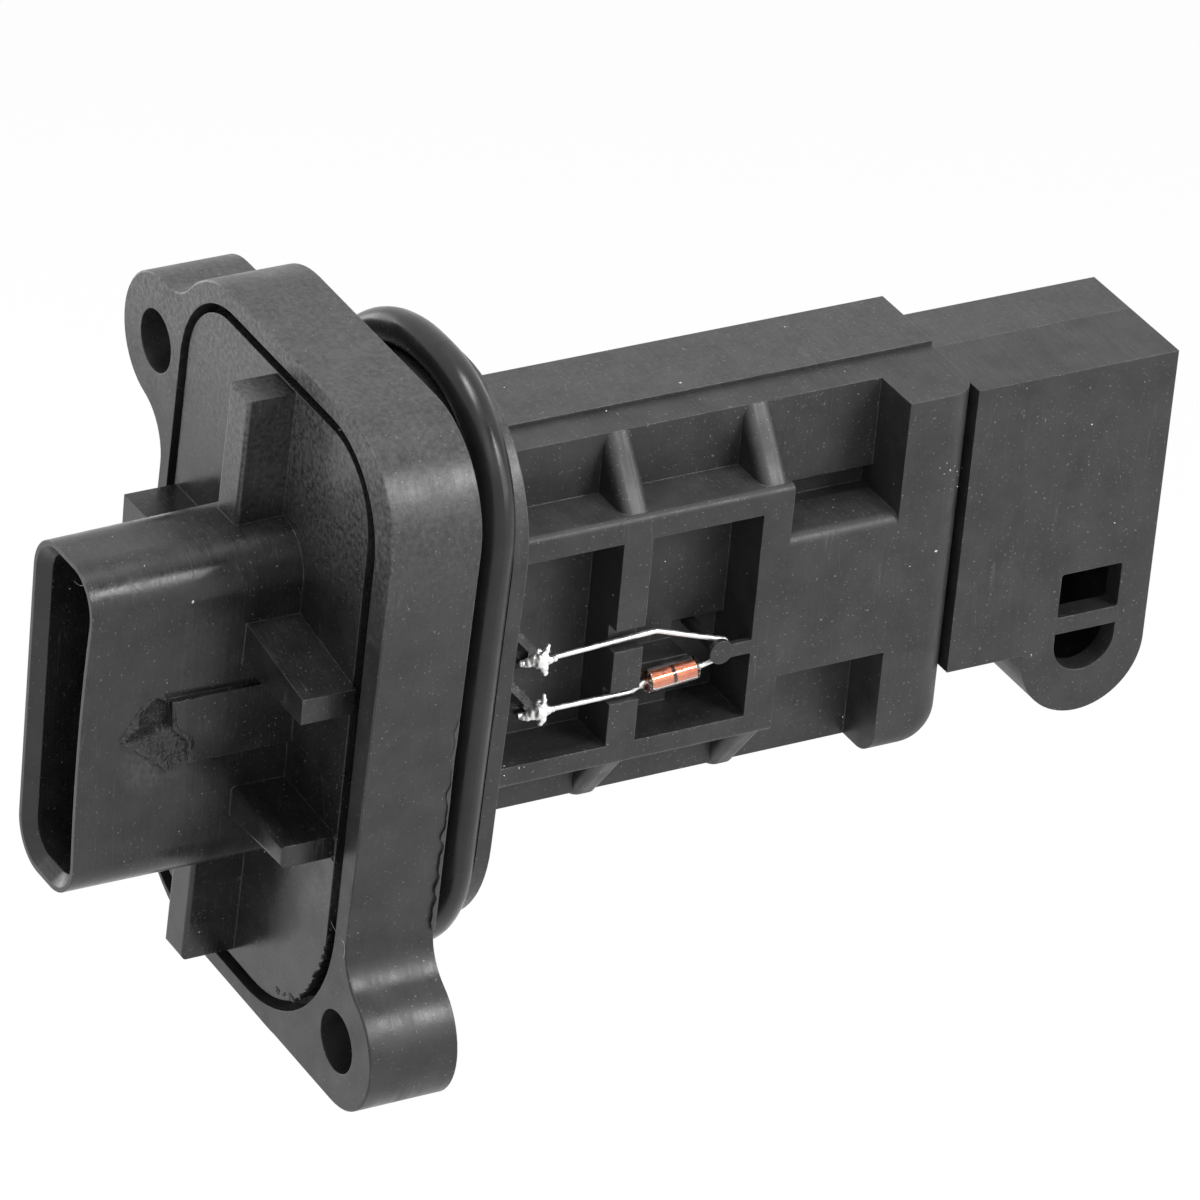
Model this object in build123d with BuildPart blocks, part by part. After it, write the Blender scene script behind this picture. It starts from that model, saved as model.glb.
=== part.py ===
"""Plug-in mass airflow sensor: a two-ear flange, a connector shroud in front, a flat probe behind.

Millimetres, +Z up. +X runs along the probe, away from the connector. The near side faces -Y.
The origin is midway between the two screw holes, on the seating face of the flange.
"""
import math
import os

from build123d import *

# Screw holes and flange
SCREW_SPACING = 52.0
SCREW_ANGLE = 49.55
SCREW_HOLE_DIAMETER = 4.8
EAR_RADIUS = 5.15
EAR_BLEND = 4.0
FLANGE_THICKNESS = 7.04
FLANGE_NEAR = -18.03
FLANGE_FAR = 15.66
EAR_STEP = 4.064
EAR_DROP = 0.286
FLANGE_CORNERS = (10.0, 13.0, 8.0, 8.0)
FLANGE_EDGE = 0.12

# The flange and all that follows it lean a little against the probe
LEAN = -0.0655
LEAN_CENTRE = 2.1
TILT = 0.02

# Recess in the front of the flange, and the plate that sits in it
RIM_NEAR = 1.96
RIM_FAR = 1.35
RIM_BOTTOM = 1.3
RIM_TOP = 1.45
RECESS_DEPTH = 4.24
RECESS_SLANT = 0.6
RECESS_CORNERS = (12.4, 9.5, 7.3, 7.5)
SEALANT_NEAR = 1.76
SEALANT_FAR = 0.55
SEALANT_BOTTOM = 0.84
SEALANT_TOP = 1.22
SEALANT_SUNK = 2.0
PLATE_SUNK = 0.34
PLATE_CORNERS = (9.9, 9.0, 5.6, 6.0)
SKIN_GAP = 0.02

# Connector shroud
SHROUD_LENGTH = 16.5
SHROUD_NEAR = -6.4
SHROUD_FAR = 2.9
SHROUD_SLANT = 0.4
SHROUD_BOTTOM = -11.4
SHROUD_TOP = 15.95
SHROUD_TAPER = 0.35
SHROUD_CORNER = 3.3
MOUTH_BOW = 0.72
ROOT_BOW = 0.35
SHROUD_WALL = 1.25
SHROUD_LEAD_IN = 0.85
SHROUD_FLOOR = 2.0

# Latch rail on the near wall, broken off at its front end, as X and Z points of the break
RAIL_BOTTOM = -0.6
RAIL_TOP = 4.7
RAIL_HEIGHT = 0.5
RAIL_END = ((-16.5, 4.7), (-16.35, 2.5), (-15.3, 1.5), (-14.9, -0.6))
STUB_OUTLINE = ((-20.0, 1.75), (-17.7, 2.2), (-16.2, 2.5), (-15.0, 1.5), (-14.7, -0.55), (-16.3, -1.3),
                (-17.6, 0.0))
STUB_HEIGHT = 0.4
HOLLOW_OUTLINE = ((-18.7, 3.9), (-17.9, 4.7), (-17.3, 4.9), (-16.5, 4.4), (-16.4, 2.6), (-17.8, 2.2),
                  (-19.7, 1.85), (-18.7, 2.5))
HOLLOW_DEPTH = 0.6

# Fins on the plate
FIN_HEIGHT = 4.2
TOP_FIN_HEIGHT = 3.75
POST_FIN_WIDTH = 2.95
POST_FIN_CENTRE = -0.5
POST_FIN_TOP = 26.25
POST_FIN_BOTTOM = -21.8
FIN_EDGE = 0.3

# Side wings: Y of each tip, then bottom and top at the middle of the shroud and at the tip
UPPER_NEAR_TIP = -15.1
UPPER_NEAR_LEVELS = (6.4, 10.6, 6.5, 8.5)
UPPER_FAR_TIP = 13.0
UPPER_FAR_LEVELS = (6.6, 9.94, 7.6, 9.94)
LOWER_NEAR_TIP = -13.9
LOWER_NEAR_LEVELS = (-6.65, -3.7, -6.05, -4.3)
LOWER_FAR_TIP = 13.0
LOWER_FAR_LEVELS = (-7.3, -4.0, -6.3, -4.0)

# Spigot, groove and O-ring
SPIGOT_HALF_WIDTH = 11.0
SPIGOT_BOTTOM = -18.83
SPIGOT_TOP = 25.54
SPIGOT_CORNERS = (9.05, 8.48, 12.5, 8.48)
RING_CORD = 2.8
RING_FIT = 0.02
RING_BACK = 3.2
LIP_THICKNESS = 1.2
LIP_SIDE = 1.92
LIP_BOTTOM = 0.96
LIP_TOP = 0.56
LIP_CORNERS = (11.0, 11.0, 14.5, 11.0)

# Probe body, split at the seam plane Y 0
NEAR_DEPTH = 7.2
FAR_DEPTH = 7.2
BODY_BOTTOM = -12.92
BODY_TOP = 17.75
COVER_STEP = 0.35
BODY_WALL = 1.5
WINDOW_ONE = 11.9
MIDDLE_BAR = 2.4
WINDOW_TWO = 9.2
END_BAR = 2.45
POCKET_THREE = 9.15
END_BLOCK = 6.0
END_CORNER = 3.2
BLOCK_EDGE = 2.4

# Front of the cover
PANEL_DEPTH = 2.95
FRAME_TOP = 12.5
WINDOW_TOP = 10.5
WINDOW_BOTTOM = -6.5
FRAME_BOTTOM = -8.3
FRAME_EDGE = 0.5
RIB_DROP = 0.3
RIB_EDGE = 0.8
LEDGE_TOP = 8.1
LEDGE_EDGE = 0.85
SLOT_HEIGHT = 2.0
SLOT_DEPTH = 1.3
NOTCH_TOP = -3.6
WELL_TOP = 0.2
WELL_DEPTH = 1.0
SHELF_LENGTH = 4.9
SHELF_TOP = -1.2
SHELF_THICKNESS = 2.2
SHELF_GAP = 0.1

# Tip with the bypass channel
TIP_LENGTH = 17.2
TIP_NEAR_STEP = 0.3
TIP_FAR_STEP = 2.1
TIP_TOP = 17.13
TIP_BOTTOM = -6.8
LOBE_CENTRE = -7.3
LOBE_RADIUS = 5.3
TIP_WALL = 1.75
CHANNEL_TURN = 5.4
EXIT_WIDTH = 5.28
EXIT_TOP = -0.4
EXIT_HEIGHT = 3.75
EXIT_BRIDGE = 1.4
EXIT_CORNER = 0.25

# Air temperature element and its wires
WIRE_DIAMETER = 0.4
WIRE_DEPTH = 6.5
WIRE_GAP = 0.05
WIRE_NOTCH_BELOW = 0.3
UPPER_NOTCH_ABOVE = 1.5
LOWER_NOTCH_ABOVE = 0.7
GLASS_DIAMETER = 1.9
GLASS_LENGTH = 4.35
GLASS_EDGE = 0.4
GLASS_CENTRE = (24.5, -1.95)
GLASS_TURN = 4.9
SLUG_DIAMETER = 1.4
SLUG_LENGTH = 1.68
CHIP_THICKNESS = 0.3
POST_CENTRE = (28.25, -0.55)
POST_NECK = 0.5
POST_HEAD = 0.95
POST_HEAD_THICKNESS = 0.45
ARM_HEIGHT = 1.1
TERMINAL_X = 13.1
TERMINAL_WIDTH = 1.1
TERMINAL_THICKNESS = 0.5
UPPER_LEAD_LEVEL = 1.7
LOWER_LEAD_LEVEL = -2.7
LEAD_TAIL = 1.25
SOLDER_DIAMETER = 1.3
WEB_TOP = 2.6
WEB_HALF = 0.6
WEB_CREST = 2.6
WEB_ROUND = 4.0

# Bends of the wires: runs out of the glass, the height of the upper wire's crest and the bend radii
GLASS_EXIT = 0.8
KNEE_EXIT = 0.5
KNEE_X = 21.2
KNEE_BEND = 0.8
CREST_X = 22.9
CREST_RISE = 0.4
HOOK_RISE = 0.8
TIGHT_BEND = 0.42
WIRE_BEND = 3.0

# Circuit board and what it carries
BOARD_THICKNESS = 1.2
BOARD_INSET = 0.5
CARRIER_THICKNESS = 0.8
CARRIER_WIDTH = 5.0
CARRIER_LEVEL = 2.0
CARRIER_REACH = 5.8
CARRIER_LAP = 3.0
CARRIER_FIT = 0.03
PILLAR_DIAMETER = 3.0
FILM_INSET = 1.8
FILM_LENGTH = 2.4
FILM_HEIGHT = 3.2
FILM_THICKNESS = 0.4

# Connector pins
PIN_COUNT = 5
PIN_PITCH = 4.2
PIN_WIDTH = 1.5
PIN_THICKNESS = 0.64
PIN_REACH = 7.0
PIN_FOOT = 2.4
PIN_LEVEL = 2.25
PIN_STRAIGHT = 1.5
PASSAGE_GAP = 0.6

# Stations along the probe
LIP_START = RING_BACK + RING_CORD
PROBE_START = LIP_START + LIP_THICKNESS
BAR_ONE = PROBE_START + WINDOW_ONE
WINDOW_TWO_START = BAR_ONE + MIDDLE_BAR
BAR_TWO = WINDOW_TWO_START + WINDOW_TWO
POCKET_START = BAR_TWO + END_BAR
BLOCK_START = POCKET_START + POCKET_THREE
TIP_START = BLOCK_START + END_BLOCK
TIP_END = TIP_START + TIP_LENGTH
LOBE_X = TIP_END - LOBE_RADIUS

# Stations in front of the seating face
FLANGE_FRONT = -FLANGE_THICKNESS
RECESS_FLOOR = FLANGE_FRONT + RECESS_DEPTH
PLATE_FRONT = FLANGE_FRONT + PLATE_SUNK
SHROUD_CENTRE = (SHROUD_NEAR + SHROUD_FAR) / 2
SHROUD_MOUTH = PLATE_FRONT - SHROUD_LENGTH
SHROUD_FLOOR_X = PLATE_FRONT - SHROUD_FLOOR
FIN_FRONT = PLATE_FRONT - FIN_HEIGHT

# Screw centres as Y and Z
SCREW_Y = SCREW_SPACING / 2 * math.cos(math.radians(SCREW_ANGLE))
SCREW_Z = SCREW_SPACING / 2 * math.sin(math.radians(SCREW_ANGLE))
UPPER_SCREW = (SCREW_Y, SCREW_Z)
LOWER_SCREW = (-SCREW_Y, -SCREW_Z)
FLANGE_TOP = SCREW_Z + EAR_RADIUS + EAR_STEP
FLANGE_BOTTOM = EAR_DROP - SCREW_Z - EAR_RADIUS

# Levels inside the probe
CAVITY_START = PROBE_START + BODY_WALL
CAVITY_END = BLOCK_START - BODY_WALL
CAVITY_BOTTOM = BODY_BOTTOM + BODY_WALL
COVER_TOP = BODY_TOP - COVER_STEP
CAVITY_TOP = COVER_TOP - BODY_WALL
BOARD_NEAR = CARRIER_THICKNESS
BOARD_FAR = BOARD_NEAR + BOARD_THICKNESS
BOARD_START = CAVITY_START + BOARD_INSET
BOARD_END = CAVITY_END - BOARD_INSET
CHANNEL_START = TIP_START + TIP_WALL


def leaned(y, z):
    """Return a point of the flange's own square frame after its small lean."""
    return (y + LEAN * (z - LEAN_CENTRE), z + TILT * y)


def leaned_outline(near, far, bottom, top, radii, slant=0.0):
    """Return a leaned rectangle with its corners rounded: near bottom, far bottom, far top, near top."""
    near_corners = (leaned(near - slant, bottom), leaned(near + slant, top))
    corners = [near_corners[0], leaned(far, bottom), leaned(far, top), near_corners[1]]
    with BuildSketch() as outline:
        with BuildLine():
            Polyline(*corners, close=True)
        make_face()
        for corner, radius in zip(corners, radii):
            fillet(outline.vertices().sort_by_distance(corner)[0], radius)
    return outline.sketch


def spigot_outline(grow_side, grow_bottom, grow_top, radii):
    """Return the spigot's outline grown by the given amounts."""
    side = SPIGOT_HALF_WIDTH + grow_side
    return leaned_outline(-side, side, SPIGOT_BOTTOM - grow_bottom, SPIGOT_TOP + grow_top, radii)


def shroud_outline(top, bow, inset):
    """Return the shroud's outline, its near wall bowed inward, moved in by the inset."""
    near_bottom = (SHROUD_NEAR + SHROUD_SLANT + inset, SHROUD_BOTTOM + inset)
    near_top = (SHROUD_NEAR - SHROUD_SLANT + inset, top - inset)
    near_middle = (SHROUD_NEAR + bow + inset, (SHROUD_BOTTOM + top) / 2)
    far = SHROUD_FAR - inset
    with BuildSketch() as outline:
        with BuildLine():
            Polyline(near_bottom, (far, near_bottom[1]), (far, near_top[1]), near_top)
            ThreePointArc(near_top, near_middle, near_bottom)
        make_face()
        fillet(outline.vertices(), SHROUD_CORNER - inset)
    return outline.sketch


def span(low, high):
    """Return the middle and the size of a range."""
    return ((low + high) / 2, high - low)


def block_outline(x_low, x_high, z_low, z_high):
    """Return a rectangle between two X stations and two Z levels, for a plane that faces -Y."""
    x_middle, x_size = span(x_low, x_high)
    z_middle, z_size = span(z_low, z_high)
    with BuildSketch() as outline:
        with Locations((x_middle, z_middle)):
            Rectangle(x_size, z_size)
    return outline.sketch


def tip_outline():
    """Return the side outline of the tip with its round lobe."""
    lobe_back = LOBE_X - LOBE_RADIUS
    with BuildSketch() as outline:
        lobe_bottom = (LOBE_X, LOBE_CENTRE - LOBE_RADIUS)
        with BuildLine():
            Polyline((lobe_back, LOBE_CENTRE), (lobe_back, TIP_BOTTOM), (TIP_START, TIP_BOTTOM),
                     (TIP_START, TIP_TOP), (TIP_END, TIP_TOP), (TIP_END, LOBE_CENTRE))
            ThreePointArc((TIP_END, LOBE_CENTRE), lobe_bottom, (lobe_back, LOBE_CENTRE))
        make_face()
    return outline.sketch


def channel_outline():
    """Return the bypass channel: up from the inlet, across the top and down into the lobe."""
    top = TIP_TOP - TIP_WALL
    end = TIP_END - TIP_WALL
    radius = LOBE_RADIUS - TIP_WALL
    with BuildSketch() as outline:
        add(block_outline(CHANNEL_START, LOBE_X - LOBE_RADIUS, TIP_BOTTOM, top))
        add(block_outline(CHANNEL_START, end, top - CHANNEL_TURN, top))
        add(block_outline(LOBE_X - radius, end, LOBE_CENTRE, top))
        with Locations((LOBE_X, LOBE_CENTRE)):
            Circle(radius)
    return outline.sketch


def exit_outlines():
    """Return the square hole and the half-round hole in the near wall of the tip."""
    left = LOBE_X - EXIT_WIDTH / 2
    right = LOBE_X + EXIT_WIDTH / 2
    square_bottom = EXIT_TOP - EXIT_HEIGHT
    round_top = square_bottom - EXIT_BRIDGE
    round_middle = round_top - (round_top - LOBE_CENTRE) / 2
    with BuildSketch() as outline:
        add(block_outline(left, right, square_bottom, EXIT_TOP))
        fillet(outline.vertices(), EXIT_CORNER)
        lowest = (LOBE_X, round_middle - EXIT_WIDTH / 2)
        with BuildLine():
            Polyline((left, round_middle), (left, round_top), (right, round_top), (right, round_middle))
            ThreePointArc((right, round_middle), lowest, (left, round_middle))
        make_face()
    return outline.sketch


flange_outline = leaned_outline(FLANGE_NEAR, FLANGE_FAR, FLANGE_BOTTOM, FLANGE_TOP, FLANGE_CORNERS)
RECESS_NEAR = FLANGE_NEAR + RIM_NEAR
RECESS_FAR = FLANGE_FAR - RIM_FAR
RECESS_BOTTOM = FLANGE_BOTTOM + RIM_BOTTOM
RECESS_TOP = FLANGE_TOP - RIM_TOP
PLATE_NEAR = RECESS_NEAR + SEALANT_NEAR
PLATE_FAR = RECESS_FAR - SEALANT_FAR
PLATE_BOTTOM = RECESS_BOTTOM + SEALANT_BOTTOM
PLATE_TOP = RECESS_TOP - SEALANT_TOP


def recess_shape(inset):
    """Return the outline of the recess moved in by the inset."""
    radii = [radius - inset for radius in RECESS_CORNERS]
    return leaned_outline(RECESS_NEAR + inset, RECESS_FAR - inset, RECESS_BOTTOM + inset, RECESS_TOP - inset,
                          radii, RECESS_SLANT)


def plate_shape(grow):
    """Return the outline of the header's plate grown all round."""
    radii = [radius + grow for radius in PLATE_CORNERS]
    return leaned_outline(PLATE_NEAR - grow, PLATE_FAR + grow, PLATE_BOTTOM - grow, PLATE_TOP + grow,
                          radii, RECESS_SLANT)


core_outline = spigot_outline(0, 0, 0, SPIGOT_CORNERS)
lip_outline = spigot_outline(LIP_SIDE, LIP_BOTTOM, LIP_TOP, LIP_CORNERS)
RING_OFFSET = RING_CORD / 2 + RING_FIT
ring_radii = [radius + RING_OFFSET for radius in SPIGOT_CORNERS]
ring_outline = spigot_outline(RING_OFFSET, RING_OFFSET, RING_OFFSET, ring_radii)

# Circuit board, laid on pillars in the far half
with BuildPart() as circuit_board:
    with BuildSketch(Plane.XZ.offset(-BOARD_FAR)):
        add(block_outline(BOARD_START, BOARD_END, CAVITY_BOTTOM + BOARD_INSET, CAVITY_TOP - BOARD_INSET))
    extrude(amount=BOARD_THICKNESS)

# Thin strip from the board through the end block into the bypass channel
CARRIER_START = BOARD_END - CARRIER_LAP
CARRIER_END = TIP_START + CARRIER_REACH
CARRIER_LOW = CARRIER_LEVEL - CARRIER_WIDTH / 2
CARRIER_HIGH = CARRIER_LEVEL + CARRIER_WIDTH / 2
with BuildPart() as sensor_carrier:
    with BuildSketch(Plane.XZ.offset(-BOARD_NEAR)):
        add(block_outline(CARRIER_START, CARRIER_END, CARRIER_LOW, CARRIER_HIGH))
    extrude(amount=CARRIER_THICKNESS)

# Main moulding: flange, ears, groove, lip and the far half of the probe
PASSAGE_NEAR = SHROUD_CENTRE - PIN_THICKNESS / 2 - PASSAGE_GAP
PASSAGE_HALF = (PIN_COUNT - 1) / 2 * PIN_PITCH + PIN_WIDTH
with BuildPart() as flange_housing:
    with BuildSketch(Plane.YZ):
        add(flange_outline)
        with Locations(UPPER_SCREW, LOWER_SCREW):
            Circle(EAR_RADIUS)
        with Locations(UPPER_SCREW):
            Rectangle(2 * EAR_RADIUS, EAR_RADIUS, align=(Align.MAX, Align.MIN))
        pad_end = -SCREW_Y + 3 * EAR_RADIUS
        with BuildLine():
            Polyline((-SCREW_Y, -SCREW_Z), (-SCREW_Y, -SCREW_Z - EAR_RADIUS),
                     (pad_end, FLANGE_BOTTOM + TILT * pad_end), (pad_end, -SCREW_Z), close=True)
        make_face()
    extrude(amount=FLANGE_FRONT)
    upper_inner = (FLANGE_FRONT / 2, leaned(FLANGE_FAR, SCREW_Z - EAR_RADIUS)[0], SCREW_Z - EAR_RADIUS)
    upper_outer = (FLANGE_FRONT / 2, SCREW_Y - EAR_BLEND, SCREW_Z + EAR_RADIUS)
    lower_inner = (FLANGE_FRONT / 2, leaned(FLANGE_NEAR, EAR_RADIUS - SCREW_Z)[0], EAR_RADIUS - SCREW_Z)
    saddle_blend = min(EAR_BLEND, FLANGE_TOP - SCREW_Z - EAR_RADIUS)
    for meeting, blend in ((upper_inner, EAR_BLEND), (upper_outer, saddle_blend), (lower_inner, EAR_BLEND)):
        fillet(flange_housing.edges().filter_by(Axis.X).sort_by_distance(meeting)[0], blend)
    chamfer(flange_housing.faces().sort_by(Axis.X)[0].edges(), FLANGE_EDGE)
    with BuildSketch(Plane.YZ.offset(FLANGE_FRONT)):
        add(recess_shape(0))
    extrude(amount=RECESS_DEPTH, mode=Mode.SUBTRACT)
    with BuildSketch(Plane.YZ.offset(FLANGE_FRONT)):
        with Locations(UPPER_SCREW, LOWER_SCREW):
            Circle(SCREW_HOLE_DIAMETER / 2)
    extrude(amount=FLANGE_THICKNESS, mode=Mode.SUBTRACT)
    with BuildSketch(Plane.YZ):
        add(core_outline)
    extrude(amount=LIP_START)
    with BuildSketch(Plane.YZ.offset(LIP_START)):
        add(lip_outline)
    extrude(amount=LIP_THICKNESS)
    with BuildSketch(Plane.XZ):
        add(block_outline(LIP_START, TIP_START, BODY_BOTTOM, BODY_TOP))
    extrude(amount=-FAR_DEPTH)
    end_corner = (TIP_START, FAR_DEPTH / 2, BODY_BOTTOM)
    fillet(flange_housing.edges().filter_by(Axis.Y).sort_by_distance(end_corner)[0], END_CORNER)
    with BuildSketch(Plane.XZ):
        add(tip_outline())
    extrude(amount=TIP_FAR_STEP - FAR_DEPTH)
    with BuildSketch(Plane.XZ):
        add(block_outline(PROBE_START, CAVITY_END, CAVITY_BOTTOM, CAVITY_TOP))
    extrude(amount=BODY_WALL - FAR_DEPTH, mode=Mode.SUBTRACT)
    with BuildSketch(Plane.XZ):
        add(channel_outline())
    extrude(amount=TIP_FAR_STEP + BODY_WALL - FAR_DEPTH, mode=Mode.SUBTRACT)
    with BuildSketch(Plane.XZ):
        add(block_outline(CAVITY_END, CHANNEL_START, CARRIER_LOW - CARRIER_FIT, CARRIER_HIGH + CARRIER_FIT))
    extrude(amount=-CARRIER_THICKNESS, mode=Mode.SUBTRACT)
    passage_middle, passage_size = span(PASSAGE_NEAR, FAR_DEPTH - BODY_WALL)
    with BuildSketch(Plane.YZ.offset(RECESS_FLOOR)):
        with Locations((passage_middle, PIN_LEVEL)):
            Rectangle(passage_size, 2 * PASSAGE_HALF)
    extrude(amount=PROBE_START - RECESS_FLOOR, mode=Mode.SUBTRACT)
    with BuildSketch(Plane.XZ.offset(BODY_WALL - FAR_DEPTH)):
        for x in (BOARD_START + PILLAR_DIAMETER, BOARD_END - PILLAR_DIAMETER):
            for z in (CAVITY_BOTTOM + PILLAR_DIAMETER, CAVITY_TOP - PILLAR_DIAMETER):
                with Locations((x, z)):
                    Circle(PILLAR_DIAMETER / 2)
    extrude(amount=FAR_DEPTH - BODY_WALL - BOARD_FAR)

# Rubber ring that fills the groove behind the lip
RING_X = RING_BACK + RING_CORD / 2
ring_path = ring_outline.faces()[0].outer_wire().moved(Plane.YZ.offset(RING_X).location)
with BuildPart() as o_ring:
    with BuildSketch(Plane(origin=ring_path @ 0, z_dir=ring_path % 0)):
        Circle(RING_CORD / 2 - RING_FIT)
    sweep(path=ring_path)

# Sealant in the groove between the recess wall and the plate
with BuildPart() as header_sealant:
    with BuildSketch(Plane.YZ.offset(RECESS_FLOOR)):
        add(recess_shape(SKIN_GAP))
        add(plate_shape(SKIN_GAP), mode=Mode.SUBTRACT)
    extrude(amount=FLANGE_FRONT + SEALANT_SUNK - RECESS_FLOOR)

# Connector header: plate, fins, shroud and latch rail
PIN_LEVELS = [PIN_LEVEL + PIN_PITCH * (index - (PIN_COUNT - 1) / 2) for index in range(PIN_COUNT)]
MOUTH_TOP = SHROUD_TOP - SHROUD_TAPER
post_sides = (POST_FIN_CENTRE - POST_FIN_WIDTH / 2, POST_FIN_CENTRE + POST_FIN_WIDTH / 2)
wings = (
    (UPPER_NEAR_TIP, UPPER_NEAR_LEVELS),
    (UPPER_FAR_TIP, UPPER_FAR_LEVELS),
    (LOWER_NEAR_TIP, LOWER_NEAR_LEVELS),
    (LOWER_FAR_TIP, LOWER_FAR_LEVELS),
)
with BuildPart() as front_fins:
    with BuildSketch(Plane.YZ.offset(FIN_FRONT)):
        for tip, (root_bottom, root_top, tip_bottom, tip_top) in wings:
            with BuildLine():
                Polyline((SHROUD_CENTRE, root_bottom), (SHROUD_CENTRE, root_top), (tip, tip_top),
                         (tip, tip_bottom), close=True)
            make_face()
        with BuildLine():
            Polyline(leaned(post_sides[0], POST_FIN_BOTTOM), leaned(post_sides[1], POST_FIN_BOTTOM),
                     leaned(post_sides[1], 0), leaned(post_sides[0], 0), close=True)
        make_face()
    extrude(amount=FIN_HEIGHT)
    fillet(front_fins.faces().sort_by(Axis.X)[0].edges(), FIN_EDGE)

with BuildPart() as top_fin:
    with BuildSketch(Plane.YZ.offset(PLATE_FRONT - TOP_FIN_HEIGHT)):
        with BuildLine():
            Polyline(leaned(post_sides[0], 0), leaned(post_sides[1], 0),
                     leaned(post_sides[1], POST_FIN_TOP), leaned(post_sides[0], POST_FIN_TOP), close=True)
        make_face()
    extrude(amount=TOP_FIN_HEIGHT)
    fillet(top_fin.faces().sort_by(Axis.X)[0].edges(), FIN_EDGE)

with BuildPart() as connector_header:
    add(front_fins.part)
    add(top_fin.part)
    with BuildSketch(Plane.YZ.offset(PLATE_FRONT)):
        add(plate_shape(0))
    extrude(amount=RECESS_FLOOR - PLATE_FRONT)
    with BuildSketch(Plane.YZ.offset(SHROUD_MOUTH)):
        add(shroud_outline(MOUTH_TOP, MOUTH_BOW, 0))
    with BuildSketch(Plane.YZ.offset(PLATE_FRONT)):
        add(shroud_outline(SHROUD_TOP, ROOT_BOW, 0))
    loft(ruled=True)
    with BuildSketch(Plane.YZ.offset(SHROUD_MOUTH)):
        add(shroud_outline(MOUTH_TOP, MOUTH_BOW, SHROUD_WALL))
    with BuildSketch(Plane.YZ.offset(SHROUD_FLOOR_X)):
        add(shroud_outline(SHROUD_TOP, ROOT_BOW, SHROUD_WALL))
    loft(ruled=True, mode=Mode.SUBTRACT)
    with BuildSketch(Plane.YZ.offset(SHROUD_MOUTH)):
        add(shroud_outline(MOUTH_TOP, MOUTH_BOW, SHROUD_WALL - SHROUD_LEAD_IN))
    with BuildSketch(Plane.YZ.offset(SHROUD_MOUTH + SHROUD_LEAD_IN)):
        add(shroud_outline(MOUTH_TOP, MOUTH_BOW, SHROUD_WALL))
    loft(ruled=True, mode=Mode.SUBTRACT)
    rail_start = -SHROUD_NEAR - SHROUD_WALL
    with BuildSketch(Plane.XZ.offset(rail_start)):
        with BuildLine():
            Polyline(*RAIL_END, (PLATE_FRONT, RAIL_BOTTOM), (PLATE_FRONT, RAIL_TOP), close=True)
        make_face()
    extrude(amount=RAIL_HEIGHT - SHROUD_NEAR - ROOT_BOW - rail_start)
    with BuildSketch(Plane.XZ.offset(rail_start)):
        with BuildLine():
            Polyline(*STUB_OUTLINE, close=True)
        make_face()
    extrude(amount=STUB_HEIGHT - SHROUD_NEAR - MOUTH_BOW - rail_start)
    with BuildSketch(Plane.XZ.offset(-SHROUD_NEAR - ROOT_BOW - HOLLOW_DEPTH)):
        with BuildLine():
            Polyline(*HOLLOW_OUTLINE, close=True)
        make_face()
    extrude(amount=HOLLOW_DEPTH + RAIL_HEIGHT, mode=Mode.SUBTRACT)
    with BuildSketch(Plane.YZ.offset(SHROUD_FLOOR_X)):
        for level in PIN_LEVELS:
            with Locations((SHROUD_CENTRE, level)):
                Rectangle(PIN_THICKNESS, PIN_WIDTH)
    extrude(amount=RECESS_FLOOR - SHROUD_FLOOR_X, mode=Mode.SUBTRACT)

# Bent blades from the shroud to the board
pins = []
pin_tip = SHROUD_FLOOR_X - PIN_REACH
pin_front = SHROUD_CENTRE - PIN_THICKNESS / 2
pin_foot = BOARD_NEAR - PIN_THICKNESS
pin_bend = RECESS_FLOOR + PIN_STRAIGHT
for level in PIN_LEVELS:
    with BuildPart() as pin:
        with BuildSketch(Plane.XY.offset(level - PIN_WIDTH / 2)):
            with BuildLine():
                Polyline((pin_tip, pin_front), (pin_bend, pin_front), (LIP_START, pin_foot),
                         (BOARD_START + PIN_FOOT, pin_foot), (BOARD_START + PIN_FOOT, BOARD_NEAR),
                         (LIP_START, BOARD_NEAR), (pin_bend, pin_front + PIN_THICKNESS),
                         (pin_tip, pin_front + PIN_THICKNESS), close=True)
            make_face()
        extrude(amount=PIN_WIDTH)
    pins.append(pin)


def rib(start, frame, foot):
    """Return a rib that slopes from the frame's front to the panel's edge, its front edges rounded."""
    slope_start = FRAME_EDGE - NEAR_DEPTH
    with BuildPart() as piece:
        with BuildSketch(Plane.YZ.offset(start)):
            with BuildLine():
                Polyline((0, frame), (slope_start, frame), (-PANEL_DEPTH, foot), (0, foot), close=True)
            make_face()
        extrude(amount=MIDDLE_BAR)
        slope_middle = ((slope_start - PANEL_DEPTH) / 2, (frame + foot) / 2)
        ends = [piece.edges().sort_by_distance((x, *slope_middle))[0] for x in (start, start + MIDDLE_BAR)]
        fillet(ends, RIB_EDGE)
    return piece.part


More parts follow.
